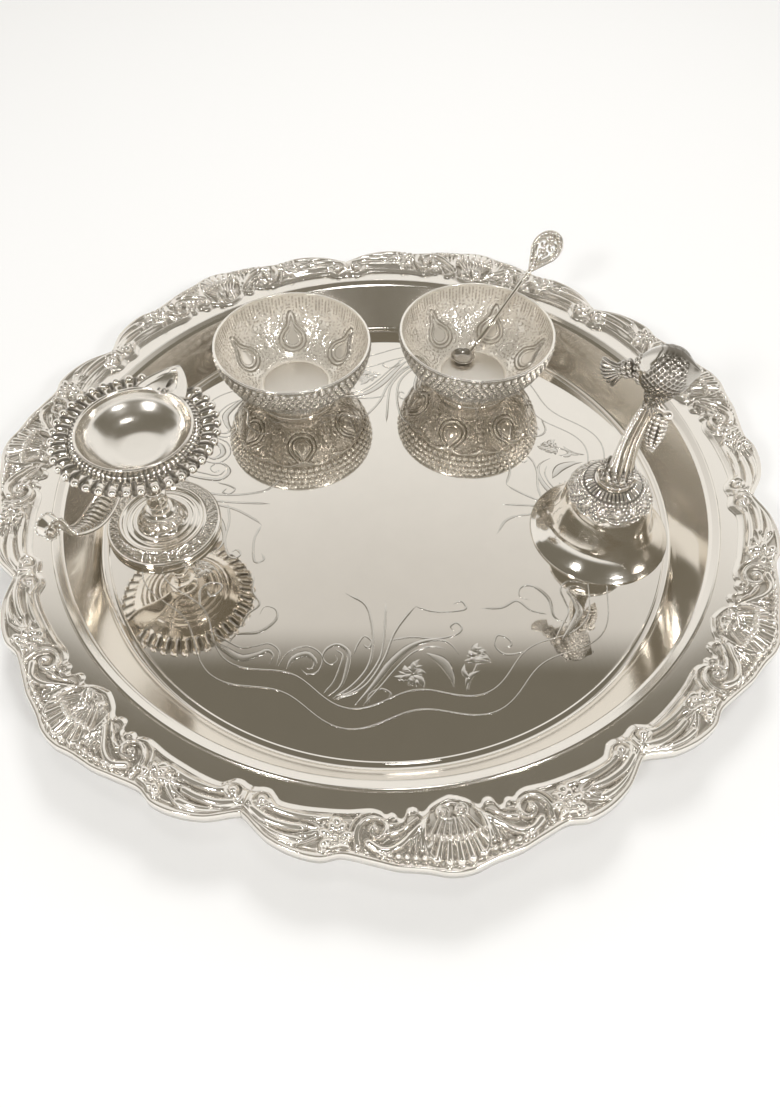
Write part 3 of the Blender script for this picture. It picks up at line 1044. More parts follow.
lampCup = {
    "count": 200, "step": 0.6, "rim": 60.3, "spout": 72.0, "reach": 37.6, "root": 19.5, "half": 11.0,
    "thick": 2.2,
    "channelFrom": 16.5, "channelTo": 34.8, "channelHalf": 5.4, "channelDepth": 2.0, "cutLift": 0.35,
    "cutFrom": 20.6,
    # leaf: grid, start beyond the root, powers of its outline, least half width, the cup's radius
    "grid": (90, 81), "start": 1.4, "outline": (1.6, 0.8), "least": 0.12, "beside": 22.0, "belly": 0.4,
    # raised edge (height, inset, width), rounding of the edge, vein (height, share, width, from, to)
    "edge": (0.3, 0.5, 0.4), "edgeRound": 0.5, "vein": (0.22, 1.45, 0.35, 1.5, 4),
    "line": [
        (0, 49.25, 0), (9.0, 49.35, 2.0), (15.4, 51.4, 4.0), (19.8, 55.6, 4.0), (21.3, 59.0, 1.4),
        (21.5, 60.2, 0.4),
        (22.0, 60.75, 0.4), (22.7, 60.5, 0.4), (22.7, 59.7, 0.4), (22.2, 58.9, 0.6), (20.4, 54.6, 4.0),
        (14.8, 50.2, 4.0),
        (7.7, 48.15, 1.0), (0, 48.15, 0),
    ],
}


# Depth of the wick channel: two flat slopes that meet on its middle line, inside a leaf-shaped outline.
def channelDepth(along, side, v):
    middle, half = (v["channelFrom"] + v["channelTo"]) / 2, (v["channelTo"] - v["channelFrom"]) / 2
    wide = v["channelHalf"] * np.clip(1 - ((along - middle) / half) ** 2, 0, 1) + 1e-6
    return v["channelDepth"] * np.clip(1 - np.abs(side) / wide, 0, 1)


# Spout: a pointed leaf whose half width falls along a round outline, raised a little at its edge.
def makeLampCup(v):
    line = evenLine(turnedLine(v["line"], 9), v["step"])
    shell = turned(line, lampPlace, v["count"], poles=True)
    way = unitAt(v["spout"])
    across = np.array([-way[1], way[0]])
    flat, height = shell["verts"][:, :2] - lampPlace, shell["verts"][:, 2]
    along, side = flat @ way, flat @ across
    deep = channelDepth(along, side, v)
    cut = np.minimum(height, v["rim"] + v["cutLift"] - deep)
    shell["verts"][:, 2] = np.where((deep > 0.02) & (along > v["cutFrom"]), cut, height)
    rows, cols = v["grid"]
    u, begin = np.linspace(-1, 1, cols)[None], v["root"] + v["start"]
    length = begin + (v["reach"] - begin) * np.linspace(0, 1, rows)[:, None]
    share = (length - v["root"]) / (v["reach"] - v["root"])
    inner, outer = v["outline"]
    half = v["half"] * (1 - share**inner) ** outer + v["least"]
    y, edge = half * u, half * (1 - np.abs(u))
    x = np.maximum(length, np.sqrt(np.clip(v["beside"] ** 2 - y**2, 0, None)))
    tall, inset, wide = v["edge"]
    top = v["rim"] + tall * bell(edge - inset, wide) - channelDepth(x, y, v)
    top = top - v["edgeRound"] * (1 - quarter(edge, v["edgeRound"]))
    tall, shift, wide, low, high = v["vein"]
    vein = np.abs(y) - shift * v["channelHalf"] * (1 - share)
    top = top + tall * bell(vein, wide) * ease(half, low, high)
    under = v["rim"] - v["thick"] - v["belly"] * (1 - u**2) + 0 * share
    plan = lampPlace + x[..., None] * way + y[..., None] * across
    upper, lower = (np.concatenate([plan, level[..., None]], -1) for level in (top, under))
    leaf = gridShell(np.concatenate([upper, lower[:, ::-1]], 1), caps=True)
    makePiece("lamp_bowl", [shell, leaf], "softSilver", "lamp", ["lamp_cup"])


makeLampCup(lampCup)

lampHandle = {
    "bearing": -119.4, "half": 3.5, "thick": 1.5, "curl": (48.4, 51.8), "curlRadius": 4.2,
    "curlTurns": 1.35,
    "curlShrink": 0.62, "curlSteps": 70, "pathSteps": 150, "steps": 260, "sides": 56,
    "section": (0.35, 0.5),
    "path": [
        (5.6, 46.0), (8.1, 46.0), (15.6, 43.3), (24.7, 39.6), (33.7, 38.0), (41.8, 42.3), (44.2, 51.8),
    ],
    # width: share at the root, loss towards the curl, and the leaf's swell (share, place, spread)
    "wide": (0.86, 0.22), "narrowFrom": (0.55, 1.0), "leaf": (0.72, 0.30, 0.15), "leafFrom": (0.04, 0.1),
    "leafTo": (0.46, 0.56), "rib": (0.75, 1.5, 1.5), "ribClear": (0.9, 1.5), "midrib": 0.5,
    "rim": (1.25, 0.55, 0.5),
    "ribLift": (0.8, 0.5), "hollow": 0.25,
    "beadStep": 1.55, "beadRadius": 0.72, "beadRun": (0.53, 0.985), "beadLift": 0.35, "beadInset": 0.25,
    "ring": (1.7, 6.6, 45.25, 46.75), "ringBend": 0.4, "ringCount": 96,
}


# Strap handle: a flat section with raised edges carried along the line, which rolls up into a spiral;
# leaf ribs cross its first half, beads run along both edges, and a ring sits under the dish.
def makeLampHandle(v):
    out = np.append(unitAt(v["bearing"]), 0)
    axes = np.array([out, (-out[1], out[0], 0), (0, 0, 1)])
    t = np.linspace(0, 1, v["curlSteps"])[1:]
    spin = np.pi - 2 * np.pi * v["curlTurns"] * t
    roll = v["curlRadius"] * (1 - v["curlShrink"] * t)
    curl = np.stack([v["curl"][0] + roll * np.cos(spin), v["curl"][1] + roll * np.sin(spin)], 1)
    path = np.vstack([smoothLine(v["path"], v["pathSteps"]), curl])
    path = smoothLine(path[::3], v["steps"])
    normal, walk = -lineNormal(path), walkOf(path)[:, None]
    share, ring = np.linspace(0, 1, len(path))[:, None], fullTurn(v["sides"])
    waves = zip((np.cos(ring), np.sin(ring)), v["section"])
    across, thick = (np.sign(wave) * np.abs(wave) ** power for wave, power in waves)
    swell, place, spread = v["leaf"]
    root, loss = v["wide"]
    wide = v["half"] * (root - loss * ease(share, *v["narrowFrom"]) + swell * bell(share - place, spread))
    inset = (1 - np.abs(across)) * wide
    tall, waves, slant = v["rib"]
    rib = np.abs(np.sin(waves * (walk - slant * np.abs(across) * wide))) ** 1.5
    rib = tall * rib * ease(inset, *v["ribClear"])
    tall, place, spread = v["rim"]
    rib = highest(rib, bell(across * wide, v["midrib"]), tall * bell(inset - place, spread))
    leafy = (1 - ease(share, *v["leafTo"])) * ease(share, *v["leafFrom"])
    face = np.clip(thick, 0, 1)
    rise, sink = v["ribLift"]
    lift = leafy * (rise * rib - sink) - v["hollow"] * (1 - leafy) * (1 - across**2)
    lift = v["thick"] / 2 * thick + face * lift

    # A point of the handle, from its plane's path, a lift along the normal and a distance to the side.
    def lay(path, normal, lift, side):
        point = path + lift[..., None] * normal
        return np.array([*lampPlace, 0]) + np.stack([point[..., 0], side, point[..., 1]], -1) @ axes

    points = lay(path[:, None], normal[:, None], lift, wide * across)
    tone = 1 - face * leafy * np.clip(1.0 - rib, 0, 1)
    shells = [gridShell(points, caps=True, relief=tone)]
    at = np.linspace(*v["beadRun"], int(walk[-1, 0] / v["beadStep"]) // 2)
    line, lean, half = (readLine(at, share[:, 0], field) for field in (path, normal, wide))
    for hand in (-1, 1):
        off = hand * (half[:, 0] - v["beadInset"])
        shells.append(beads(lay(line, lean, v["beadLift"] * v["thick"] + 0 * at, off), v["beadRadius"]))
    inner, outer, low, top = v["ring"]
    bend = v["ringBend"]
    washer = [(inner, low, 0), (outer, low, bend), (outer, top, bend), (inner, top, 0), (inner, low, 0)]
    shells.append(turned(turnedLine(washer), lampPlace, v["ringCount"]))
    makePiece("lamp_strap", shells, "castSilver", "lamp", ["lamp_handle"])


makeLampHandle(lampHandle)
print("lamp ready")

# Spoon: points are in the part's frame. Rings on the shaft are (height, place, width) as shares.
spoon = {
    "ladle": (37.695, 90.866), "low": 7.55, "radius": 6.2, "depth": 2.2, "wall": 0.6, "ladleTone": 0.6,
    "start": (44.266, 96.074, 12.206), "way": (0.5706, 0.4523, 0.6855), "side": (0.6211, -0.7837, 0.0),
    "neck": 3.8, "neckWide": (1.45, 1.0), "length": 44.0, "stemRadius": 0.95, "sides": 20,
    "ladleSides": 96,
    "waist": 0.18, "stemWide": 1.22, "grip": (0.3, 0.28, 0.30), "steps": 220,
    "rings": [
        (0.5, 0.93, 0.012), (0.45, 0.89, 0.01), (0.4, 0.975, 0.012), (0.3, 0.05, 0.015),
        (0.25, 0.29, 0.012),
    ],
    "finial": 21.6, "half": 8.4, "rope": 1.0, "ropeTurns": 35, "ropeOff": 0.42, "ropeWide": 0.72,
    "ropeSteps": 240,
    # scrolls on each side (thickness, points along and across), then beads: lift, sizes and places
    "scrolls": [
        (0.72, [(4.0, 0.4), (7.5, 3.0), (11.0, 5.0), (14.0, 5.4), (16.0, 3.6), (15.4, 1.5), (13.4, 1.4),
                (12.8, 3.0), (14.0, 3.6)]),
        (0.6, [(4.6, 0.6), (8.0, 1.0), (10.6, 2.6), (10.8, 0.9), (9.2, 0.6)]),
        (0.7, [(19.4, 0.2), (18.4, 2.6), (16.9, 4.8), (17.8, 5.6)]),
    ],
    "flower": (17.0, 1.5, 6, 0.4, 1.0),
    "spray": [(13.0, 5.6), (15.8, 5.7), (18.4, 4.2), (19.6, 1.9), (6.2, 1.7)],
    "sprayBead": (0.5, 0.85), "knobs": [(17.0, 1.0), (2.6, 1.7), (4.4, 1.3), (11.9, 0.9)], "knobLift": 0.3,
}


# Spoon: a turned ladle, a neck that narrows evenly, and a shaft whose radius is a long waist with rings,
# each a bell curve of the length.
def makeSpoon(v):
    r, d, w = v["radius"], v["depth"], v["wall"]
    line = turnedLine([
        (0, w, 0), (0.5 * r, w, 1.2), (0.82 * r - w, 0.38 * d + 0.5 * w, 1.0), (r - w, d, 0.1),
        (r - 0.5 * w, d + 0.15, 0.25), (r, d, 0.2), (0.86 * r, 0.38 * d, 1.0), (0.55 * r, 0, 1.2),
        (0, 0, 0),
    ])
    ladle = turned(line + (0, v["low"]), v["ladle"], v["ladleSides"], poles=True, relief=v["ladleTone"])
    start, way, side = (np.array(v[k], float) for k in ("start", "way", "side"))
    t = np.linspace(0, 1, 24)
    wide = v["stemRadius"] * (v["neckWide"][0] + (v["neckWide"][1] - v["neckWide"][0]) * t)
    neck = tube(start + way * v["neck"] * (t[:, None] - 1), wide, side, v["sides"])
    makePiece("spoon_bowl", [ladle, neck], "agedSilver", "spoon", ["spoon_ladle"])
    t = np.linspace(0, 1, v["steps"])
    more, low, high = v["grip"]
    swell = v["stemWide"] - v["waist"] * np.sin(np.pi * t) + more * (1 - ease(t, low, high))
    swell = swell + sum(tall * bell(t - place, wide) for tall, place, wide in v["rings"])
    stem = tube(start + way * v["length"] * t[:, None], v["stemRadius"] * swell, side, v["sides"])
    makePiece("spoon_shaft", [stem], "polishedSilver", "spoon", ["spoon_stem"])
    makeFinial(v, start + way * v["length"], way, side)


# Open finial: a roped drop outline, three pairs of scrolls and a bead flower, all in the plane of the stem.
def makeFinial(v, foot, way, side):
    face = np.cross(side, way)

    def lay(points, lift=0.0):
        points = np.asarray(points, float)
        return foot + points[:, :1] * way + points[:, 1:] * side + lift * face

    centre, inner = v["finial"] - v["half"], v["half"] - v["rope"]
    low = math.acos(v["half"] / centre)
    arc = np.linspace(np.pi - low, low - np.pi, 90)
    bend = np.stack([centre + inner * np.cos(arc), inner * np.sin(arc)], 1)
    outline = smoothLine(np.vstack([[(0.4, 0.25)], bend, [(0.4, -0.25)]]), v["ropeSteps"])
    shells = []
    for phase in (0, np.pi):
        twist = 2 * np.pi * v["ropeTurns"] * np.linspace(0, 1, v["ropeSteps"])[:, None] + phase
        strand = lay(outline - v["ropeOff"] * np.cos(twist) * lineNormal(outline))
        strand = strand + v["ropeOff"] * np.sin(twist) * face
        shells.append(tube(strand, v["ropeWide"] * v["rope"], face, 8))
    for hand in (-1, 1):
        for thick, path in v["scrolls"]:
            shells.append(tube(lay(smoothLine(np.array(path) * (1, hand), 60)), thick, face, 10))
    along, reach, petals, lift, size = v["flower"]
    flower = [(along, 0) + reach * unitAt(360 * k / petals) for k in range(petals)]
    shells.append(beads(lay(flower, lift), size))
    lift, size = v["sprayBead"]
    shells.append(beads(lay([(x, hand * y) for x, y in v["spray"] for hand in (-1, 1)], lift), size))
    knobs = np.array(v["knobs"])
    shells.append(beads(lay(knobs * (1, 0), v["knobLift"]), knobs[:, 1], 9, 14))
    makePiece("spoon_openwork", shells, "castSilver", "spoon", ["spoon_finial"])


makeSpoon(spoon)
print("spoon ready")

# Hand bell: heights are above the table; the figure on top stands in an upright plane through the
# bell's axis, with points given as sideways, towards the viewer and up.
bellPlace = nodePlace("bell_cup")
bellCup = {
    "count": 480, "wall": 1.6, "bolt": 1.7, "crown": 34.6, "ceiling": 33.0, "flutes": 40, "dots": 50,
    "scallops": 14,
    "line": [
        (29.2, 1.2), (24.62, 5.4), (21.57, 9.4), (19.94, 14.1), (18.95, 19.1), (17.43, 24.6),
        (13.94, 30.3), (7.4, 34.6),
    ],
    "steps": 400, "crownFrom": 20.5, "crownStep": 0.26, "inside": (1.9, 0.3), "top": (6.8, 6.0),
    "mouth": [(27.5, 1.3), (28.3, 1.15), (29.15, 1.2), (29.4, 1.6), (29.0, 2.0)],
    # all of these are lengths down from the crown's top: flutes, rows of dots, leaves and the hem
    "fluted": (0.4, 4.9), "fluteFrom": (0.5, 1.2), "fluteTo": (4.0, 4.9), "dotRows": (5.8, 13.0, 1.4),
    "dotRing": 14.0, "dotSize": 0.78, "scallop": (11.6, 1.5), "leaves": (-0.24, 0.0, 0.24),
    "leafRoot": 6.0,
    "leaf": (9.4, 0.9, 2.3, 1.25), "hem": (9.0, 0.3), "lift": 0.8,
    "dotTone": (0.1, 1.3), "fluteTone": (-0.2, 1.5),
}


# Bell: the smooth skirt rises to a crown that carries a ring of flutes, then rows of dots and
# leaves whose lower edge runs in scallops.
def makeBellCup(v):
    outer = smoothLine(v["line"], v["steps"])
    inner = outer - v["wall"] * lineNormal(outer)
    lowest, gap = v["inside"]
    inner = inner[(inner[:, 1] < v["ceiling"] - gap) & (inner[:, 1] > lowest)][::12]
    skirt = outer[outer[:, 1] < v["crownFrom"]][::8][3:]
    crown = evenLine(outer[outer[:, 1] >= v["crownFrom"]][::2], v["crownStep"])
    line = np.vstack([
        v["mouth"], skirt, crown, (v["top"][0], v["crown"]), (v["bolt"], v["crown"]),
        (v["bolt"], v["ceiling"]), (v["top"][1], v["ceiling"]), inner[::-1], v["mouth"][:1],
    ])
    turn, first = fullTurn(v["count"]), len(v["mouth"])
    last = first + len(skirt) + len(crown)
    number = np.arange(len(line))[:, None]
    outside = (number >= first) & (number < last)
    walk = walkOf(line)[:, None]
    deep = walk[last - 1] - walk
    low, high = v["fluted"]
    fluted = outside & (deep > low) & (deep < high)
    flute = np.abs(np.cos(v["flutes"] / 2 * turn)) ** 1.2
    flute = flute * ease(deep, *v["fluteFrom"]) * (1 - ease(deep, *v["fluteTo"]))
    place, swing = v["scallop"]
    scallop = place + swing * np.abs(np.sin(v["scallops"] / 2 * turn)) ** 0.8
    dotted = outside & (deep > high) & (deep < scallop)
    field, step = np.zeros_like(deep * turn), 2 * np.pi / v["dots"]
    for k, row in enumerate(np.arange(*v["dotRows"])):
        along = (turn + 0.5 * (k % 2) * step) * v["dotRing"]
        field = np.maximum(field, dotRow(deep - row, along, step * v["dotRing"], v["dotSize"]))
    petal = np.mod(turn * v["scallops"] / (2 * np.pi), 1) - 0.5
    middle, wide, tall, rise = v["leaf"]
    for lean in v["leaves"]:
        x = petal - lean * (deep - v["leafRoot"]) / v["leafRoot"]
        x = x * 2 * np.pi / v["scallops"] * line[:, :1]
        y = deep - middle + v["leafRoot"] * np.abs(lean)
        leaf = hump(np.hypot(x / wide, y / tall), 1.0)
        field = np.maximum(field * (leaf < 0.02), rise * leaf)
    low, wide = v["hem"]
    field = np.maximum(field * dotted, bell(deep - scallop, wide) * outside * (deep > low))
    ground, gain = v["dotTone"]
    level = np.where(dotted, np.clip(ground + gain * field, 0, 1), 1.0)
    ground, gain = v["fluteTone"]
    level = np.where(fluted, np.clip(ground + gain * flute, 0, 1), level)
    shell = turned(line, bellPlace, v["count"], v["lift"] * (flute * fluted + field), relief=level)
    makePiece("bell_body", [shell], "agedSilver", "bell", ["bell_cup"])


makeBellCup(bellCup)

bellFigure = {
    "bearing": -21.6, "disc": 7.0, "discLow": 34.65, "discTop": 36.1,
    # stem: sideways, height and radius
    "stem": [
        (0.8, 36.1, 6.0), (1.2, 41.1, 5.0), (1.3, 50.0, 4.2), (1.6, 58.0, 3.8), (2.6, 66.0, 3.4),
        (3.6, 72.0, 3.1),
        (4.3, 77.0, 2.8), (4.8, 81.0, 4.1), (5.4, 84.4, 5.5), (5.7, 87.6, 7.0), (5.6, 90.4, 8.0),
    ],
    "stemSteps": 260, "stemSides": 72, "core": (0.72, 0.30), "stemNet": (4.0, 13.0),
    "stemLift": (0.55, 0.3),
    "strands": 11, "strandOff": 0.78, "strandTurn": 0.55, "strand": 0.205, "roped": (3, 4, 5),
    "rope": (0.19, 0.28, 34),
    "netFrom": 0.69, "netSpread": 0.04, "strandPast": 0.06, "netLine": 0.34, "netBall": (0.9, 0.24),
    "netTone": 0.02,
    # body: points along its leaning axis with the radius there
    "centre": (4.2, 92.4), "tilt": 14.0, "smooth": 0.92, "cell": 2.5, "netRing": 9.0,
    "bodyNet": (0.5, 0.3, 0.72),
    "body": [
        (-9.2, 0.4), (-8.8, 2.6), (-7.2, 5.0), (-4.0, 7.5), (-0.3, 8.8), (3.2, 8.8), (6.6, 7.5),
        (9.0, 5.2), (10.8, 3.0), (12.4, 1.2),
        (12.9, 0.3),
    ],
    "bodySteps": 120, "bodySides": 144, "netReach": (2.62, 0.14, 1.9, 2.8), "netEdge": 0.12,
    "netStart": (-6.5, -5.5), "netEnd": (8.4, 9.2),
    "curves": [(2.2, 3.2), (3.9, 2.6), (5.6, 2.0), (7.3, 1.4)],
    "curve": (0.9, 0.3, 0.25), "curveFrom": (1.6, 2.0), "shade": (0.45, 0.5, 0.8),
    "shadeAlong": (0.0, 3.0),
    "shadeBack": (2.8, 3.05),
    # collars of beads: place along the axis, radius, count, size
    "collars": [(-7.4, 4.6, 14, 0.95), (-8.6, 3.6, 11, 0.9)], "collarTone": 0.6,
    "wrist": (-7.4, 89.3), "fan": 208.0, "fanReach": 8.8, "fanSpread": 39.0, "ribs": 7, "rib": (0.7, 0.95),
    "ribPlaces": (1.2, 4.6), "ribTone": 0.4, "ribSteps": 24, "ribBall": (0.95, 0.6), "ribFlat": 1.15,
    "wristRings": [(-1.4, 2.6, 1.1), (0.6, 2.5, 1.1), (2.2, 2.0, 0.9)], "wristCount": 9, "wristTone": 0.55,
    "wristFlat": 0.95, "wristCore": (-2.5, 2.0, 2.5),
    # leaves of the foot: reach, height, size, count, share of a turn
    "footLeaves": [
        (6.0, 37.2, 1.35, 14, 0.0), (6.4, 39.0, 1.25, 13, 0.25), (5.9, 40.8, 1.05, 12, 0.25),
        (5.6, 42.4, 0.8, 12, 0.25),
    ],
    "footMiddle": 0.6, "footFlat": 0.9, "footStretch": (1, 1, 1.2), "footTone": 0.6,
    "scroll": (6.0, 39.0, 2.0, 0.3, 1.4), "scrollNear": 2.2, "scrollWide": (0.85, 0.6),
    "sideLeaf": [(4.0, 4.6, 37.0), (2.6, 5.6, 39.0), (3.4, 4.9, 41.2)], "sideLeafWide": 1.1,
    "bunchTop": (8.6, 72.6), "bunchFoot": (9.4, 56.0), "ball": (11.2, 73.2, 2.0), "bunch": (7, 9),
    "bunchWide": 2.7,
    "bunchBead": (1.2, 0.35, 0.9), "bunchCore": (1.8, 0.7), "bunchStagger": 0.045,
    "arch": [(4.6, 0.6, 77.6), (7.2, 0.8, 76.8), (9.2, 0.6, 75.6)], "archWide": (1.5, 1.1),
}

# Axes of the figure: sideways, towards the viewer and up.
figureSide = np.append(unitAt(bellFigure["bearing"]), 0)
figureAxes = np.array([figureSide, (figureSide[1], -figureSide[0], 0), (0, 0, 1)])


# A point of the figure in the part's frame.
def onFigure(points):
    return np.array([*bellPlace, 0]) + np.asarray(points, float) @ figureAxes


# Point beside an axis in the figure's plane: a circle square to the axis, at a radius and an angle;
# angle 0 is sideways and a quarter turn is towards the viewer.
def besideAxis(place, way, radius, angle, flat=1.0):
    across = radius * np.cos(angle)
    points = [place[0] + across * way[1], flat * radius * np.sin(angle), place[1] - across * way[0]]
    return onFigure(np.stack(points, -1))


# Round section carried along a line of the figure's plane, with its own radius at each angle.
def figureTube(line, radius, relief):
    way = wayOf(line)
    angle = fullTurn(radius.shape[1])
    points = besideAxis((line[:, :1], line[:, 1:]), (way[:, :1], way[:, 1:]), radius, angle)
    return gridShell(points, caps=True, relief=relief)


# Net: two sets of crossing raised lines, with a small ball in each cell between them.
# The first answer is the height, the second the tone.
def netRelief(p, q, v, knob):
    lines = np.maximum(bell(np.sin(np.pi * p), v["netLine"]), bell(np.sin(np.pi * q), v["netLine"]))
    rise, wide = v["netBall"]
    ball = knob * hump(np.hypot(np.mod(p, 1) - 0.5, np.mod(q, 1) - 0.5), wide)
    return np.maximum(lines, rise * ball), np.clip(np.maximum(lines, ball), v["netTone"], 1)


# Stem: smooth strands laid round a core, the two at the left edge beaded like rope; near the top the
# strands give way to a netted neck that widens into the body.
def stemShells(v):
    line = smoothLine(v["stem"], v["stemSteps"])
    share, turn, size = np.linspace(0, 1, len(line))[:, None], fullTurn(v["stemSides"]), line[:, 2:]
    around, along = v["stemNet"]
    across, up = around * turn / np.pi, along * share
    height, tone = netRelief(up + across, up - across, v, 1.0)
    netted = ease(share, v["netFrom"] - v["netSpread"], v["netFrom"] + v["netSpread"])
    inner, more = v["core"]
    rise, sink = v["stemLift"]
    core = inner * size + netted * (more * size + rise * height - sink)
    shells = [figureTube(line[:, :2], core, netted * tone)]
    until = int((v["netFrom"] + v["strandPast"]) * len(line))
    low, walk = line[:until], np.linspace(0, 1, until)
    way = wayOf(low[:, :2])
    thin, knot, knots = v["rope"]
    for k in range(v["strands"]):
        spin = 2 * np.pi * (k + 0.5) / v["strands"] + v["strandTurn"] * walk
        lay = besideAxis(low[:, :2].T, way.T, v["strandOff"] * low[:, 2], spin)
        thick = v["strand"] * low[:, 2]
        if k in v["roped"]:
            thick = thin * low[:, 2] * (1 + knot * np.sin(2 * np.pi * walk * knots))
        shells.append(tube(lay, thick, figureAxes[0], 12))
    return shells


# Body: a pear turned on a leaning axis; its lower front carries the net, its upper back a few raised
# curves, and its thin end a collar of beads.
def bodyShells(v):
    line = smoothLine(v["body"], v["bodySteps"])
    along, size, turn = line[:, :1], line[:, 1:], fullTurn(v["bodySides"])
    # Angle from straight down, towards the viewer.
    low = np.abs(np.mod(turn + np.pi, 2 * np.pi) - np.pi)
    ring = v["netRing"] * low
    height, tone = netRelief((along + ring) / v["cell"], (along - ring) / v["cell"], v, 0.0)
    first, gain, least, most = v["netReach"]
    reach = np.clip(first + gain * along, least, most)
    netted = 1 - ease(low, reach, reach + v["netEdge"])
    netted = netted * ease(along, *v["netStart"]) * (1 - ease(along, *v["netEnd"]))
    lean, wide, sunk = v["curve"]
    offs = (along - begin - bend * np.cos(low + lean) for begin, bend in v["curves"])
    curves = highest(*(bell(off, wide) for off in offs)) * (1 - netted) * ease(low, *v["curveFrom"])
    rise, sink, netTone = v["bodyNet"]
    swell = netted * (rise * height - sink) - sunk * curves
    centre, lean = np.array(v["centre"]), unitAt(v["tilt"])
    front, back, curve = v["shade"]
    plain = v["smooth"] - front * ease(along, *v["shadeAlong"]) - back * ease(low, *v["shadeBack"])
    plain = np.clip(plain - curve * curves, 0, 1)
    shells = [figureTube(centre + along * lean, size + swell, plain + netted * (netTone * tone - plain))]
    for at, ring, count, big in v["collars"]:
        spots = besideAxis(centre + at * lean, lean, ring, fullTurn(count)[0])
        shells.append(beads(spots, big, tone=v["collarTone"]))
    return shells


# Tail: ribs spread from a beaded wrist, each ending in a ball.
def tailShells(v):
    wrist, way, shells, steps = np.array(v["wrist"]), unitAt(v["fan"]), [], v["ribSteps"]
    for at, ring, big in v["wristRings"]:
        spots = besideAxis(wrist + at * way, way, ring, fullTurn(v["wristCount"])[0], v["wristFlat"])
        shells.append(beads(spots, big, tone=v["wristTone"]))
    first, last, size = v["wristCore"]
    core = smoothLine([wrist + first * way, wrist + last * way], 12)
    shells.append(figureTube(core, np.full((12, 24), size), 0.0))
    near, middle = v["ribPlaces"]
    size, tone = v["ribBall"]
    for spread in np.linspace(-v["fanSpread"], v["fanSpread"], v["ribs"]):
        ray = unitAt(v["fan"] + spread)
        end = wrist + v["fanReach"] * ray
        line = smoothLine([wrist + near * ray, wrist + middle * ray, end], steps)
        lay = onFigure(np.stack([line[:, 0], 0.5 * np.sin(np.linspace(0, np.pi, steps)), line[:, 1]], 1))
        thick = np.linspace(*v["rib"], steps)
        shells.append(tube(lay, thick, figureAxes[1], 10, v["ribFlat"], v["ribTone"]))
        shells.append(beads(onFigure([(end[0], 0, end[1])]), size, 9, 12, tone=tone))
    return shells


# Foot of the figure: a moulded disc, rings of leaves and two scrolls with a leaf beside each.
def footShells(v):
    low, top, wide, middle = v["discLow"], v["discTop"], v["disc"], v["footMiddle"]
    ring = turnedLine([
        (0, low, 0), (wide, low, 0.3), (wide + 0.2, 0.5 * low + 0.5 * top, 0.4), (wide, top, 0.4),
        (wide - 0.9, top, 0.2), (wide - 1.3, top + 0.5, 0.3), (0, top + 0.9, 0),
    ])
    shells = [turned(ring, bellPlace, 120, poles=True)]
    for reach, tall, size, count, start in v["footLeaves"]:
        spin = 2 * np.pi * (np.arange(count) + start) / count
        x, y = middle + reach * np.cos(spin), v["footFlat"] * reach * np.sin(spin)
        spots = onFigure(np.stack([x, y, tall + 0 * spin], 1))
        shells.append(beads(spots, size, 9, 12, v["footStretch"], v["footTone"]))
    off, height, outer, inner, turns = v["scroll"]
    for hand in (-1, 1):
        line = spiralLine(middle + hand * off, height, outer, inner, 90 + 90 * hand, -turns * hand, 60)
        lay = onFigure(np.stack([line[:, 0], v["scrollNear"] + 0 * line[:, 0], line[:, 1]], 1))
        shells.append(tube(lay, np.linspace(*v["scrollWide"], 60), figureAxes[1], 10))
        leaf = smoothLine([(middle + hand * x, y, z) for x, y, z in v["sideLeaf"]], 30)
        thick = v["sideLeafWide"] * np.sin(np.linspace(0.3, 2.9, 30))
        shells.append(tube(onFigure(leaf), thick, figureAxes[1], 10))
    return shells


# Bunch: at the right of the stem, strings of beads that hang from a ball on a short arch.
def bunchShells(v):
    top, foot = np.array(v["bunchTop"]), np.array(v["bunchFoot"])
    strings, count = v["bunch"]
    t = np.linspace(0, 1, count)
    first, loss, tone = v["bunchBead"]
    reach = v["bunchWide"] * np.sin(np.pi * (0.2 + 0.74 * t)) ** 0.7
    shells = []
    for k in range(strings):
        spin = 2 * np.pi * k / strings
        x = top[0] + (foot[0] - top[0]) * t + reach * np.cos(spin)
        z = top[1] + (foot[1] - top[1]) * (t + v["bunchStagger"] * (k % 2))
        spots = onFigure(np.stack([x, reach * np.sin(spin), z], 1))
        shells.append(beads(spots, first - loss * t, tone=tone))
    core = np.linspace(top, foot, 20)
    shells.append(figureTube(core, np.linspace(*v["bunchCore"], 20)[:, None] * np.ones((1, 16)), 0.0))
    x, z, size = v["ball"]
    shells.append(beads(onFigure([(x, 0, z)]), size, 15, 24))
    arch = onFigure(smoothLine(v["arch"], 30))
    shells.append(tube(arch, np.linspace(*v["archWide"], 30), figureAxes[1], 12))
    return shells


figureParts = (stemShells, bodyShells, tailShells, footShells, bunchShells)
shells = [shell for part in figureParts for shell in part(bellFigure)]
makePiece("bell_figure", shells, "agedSilver", "bell", ["bell_handle"])
print("bell ready")

# Fasteners and clapper keep their solids, with a steel finish.
for name in ("lamp_stud", "lamp_nut", "bell_eye_bolt", "bell_nut", "clapper_link", "clapper"):
    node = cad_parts[name]
    node.data.materials.clear()
    node.data.materials.append(metals["plainSteel"])

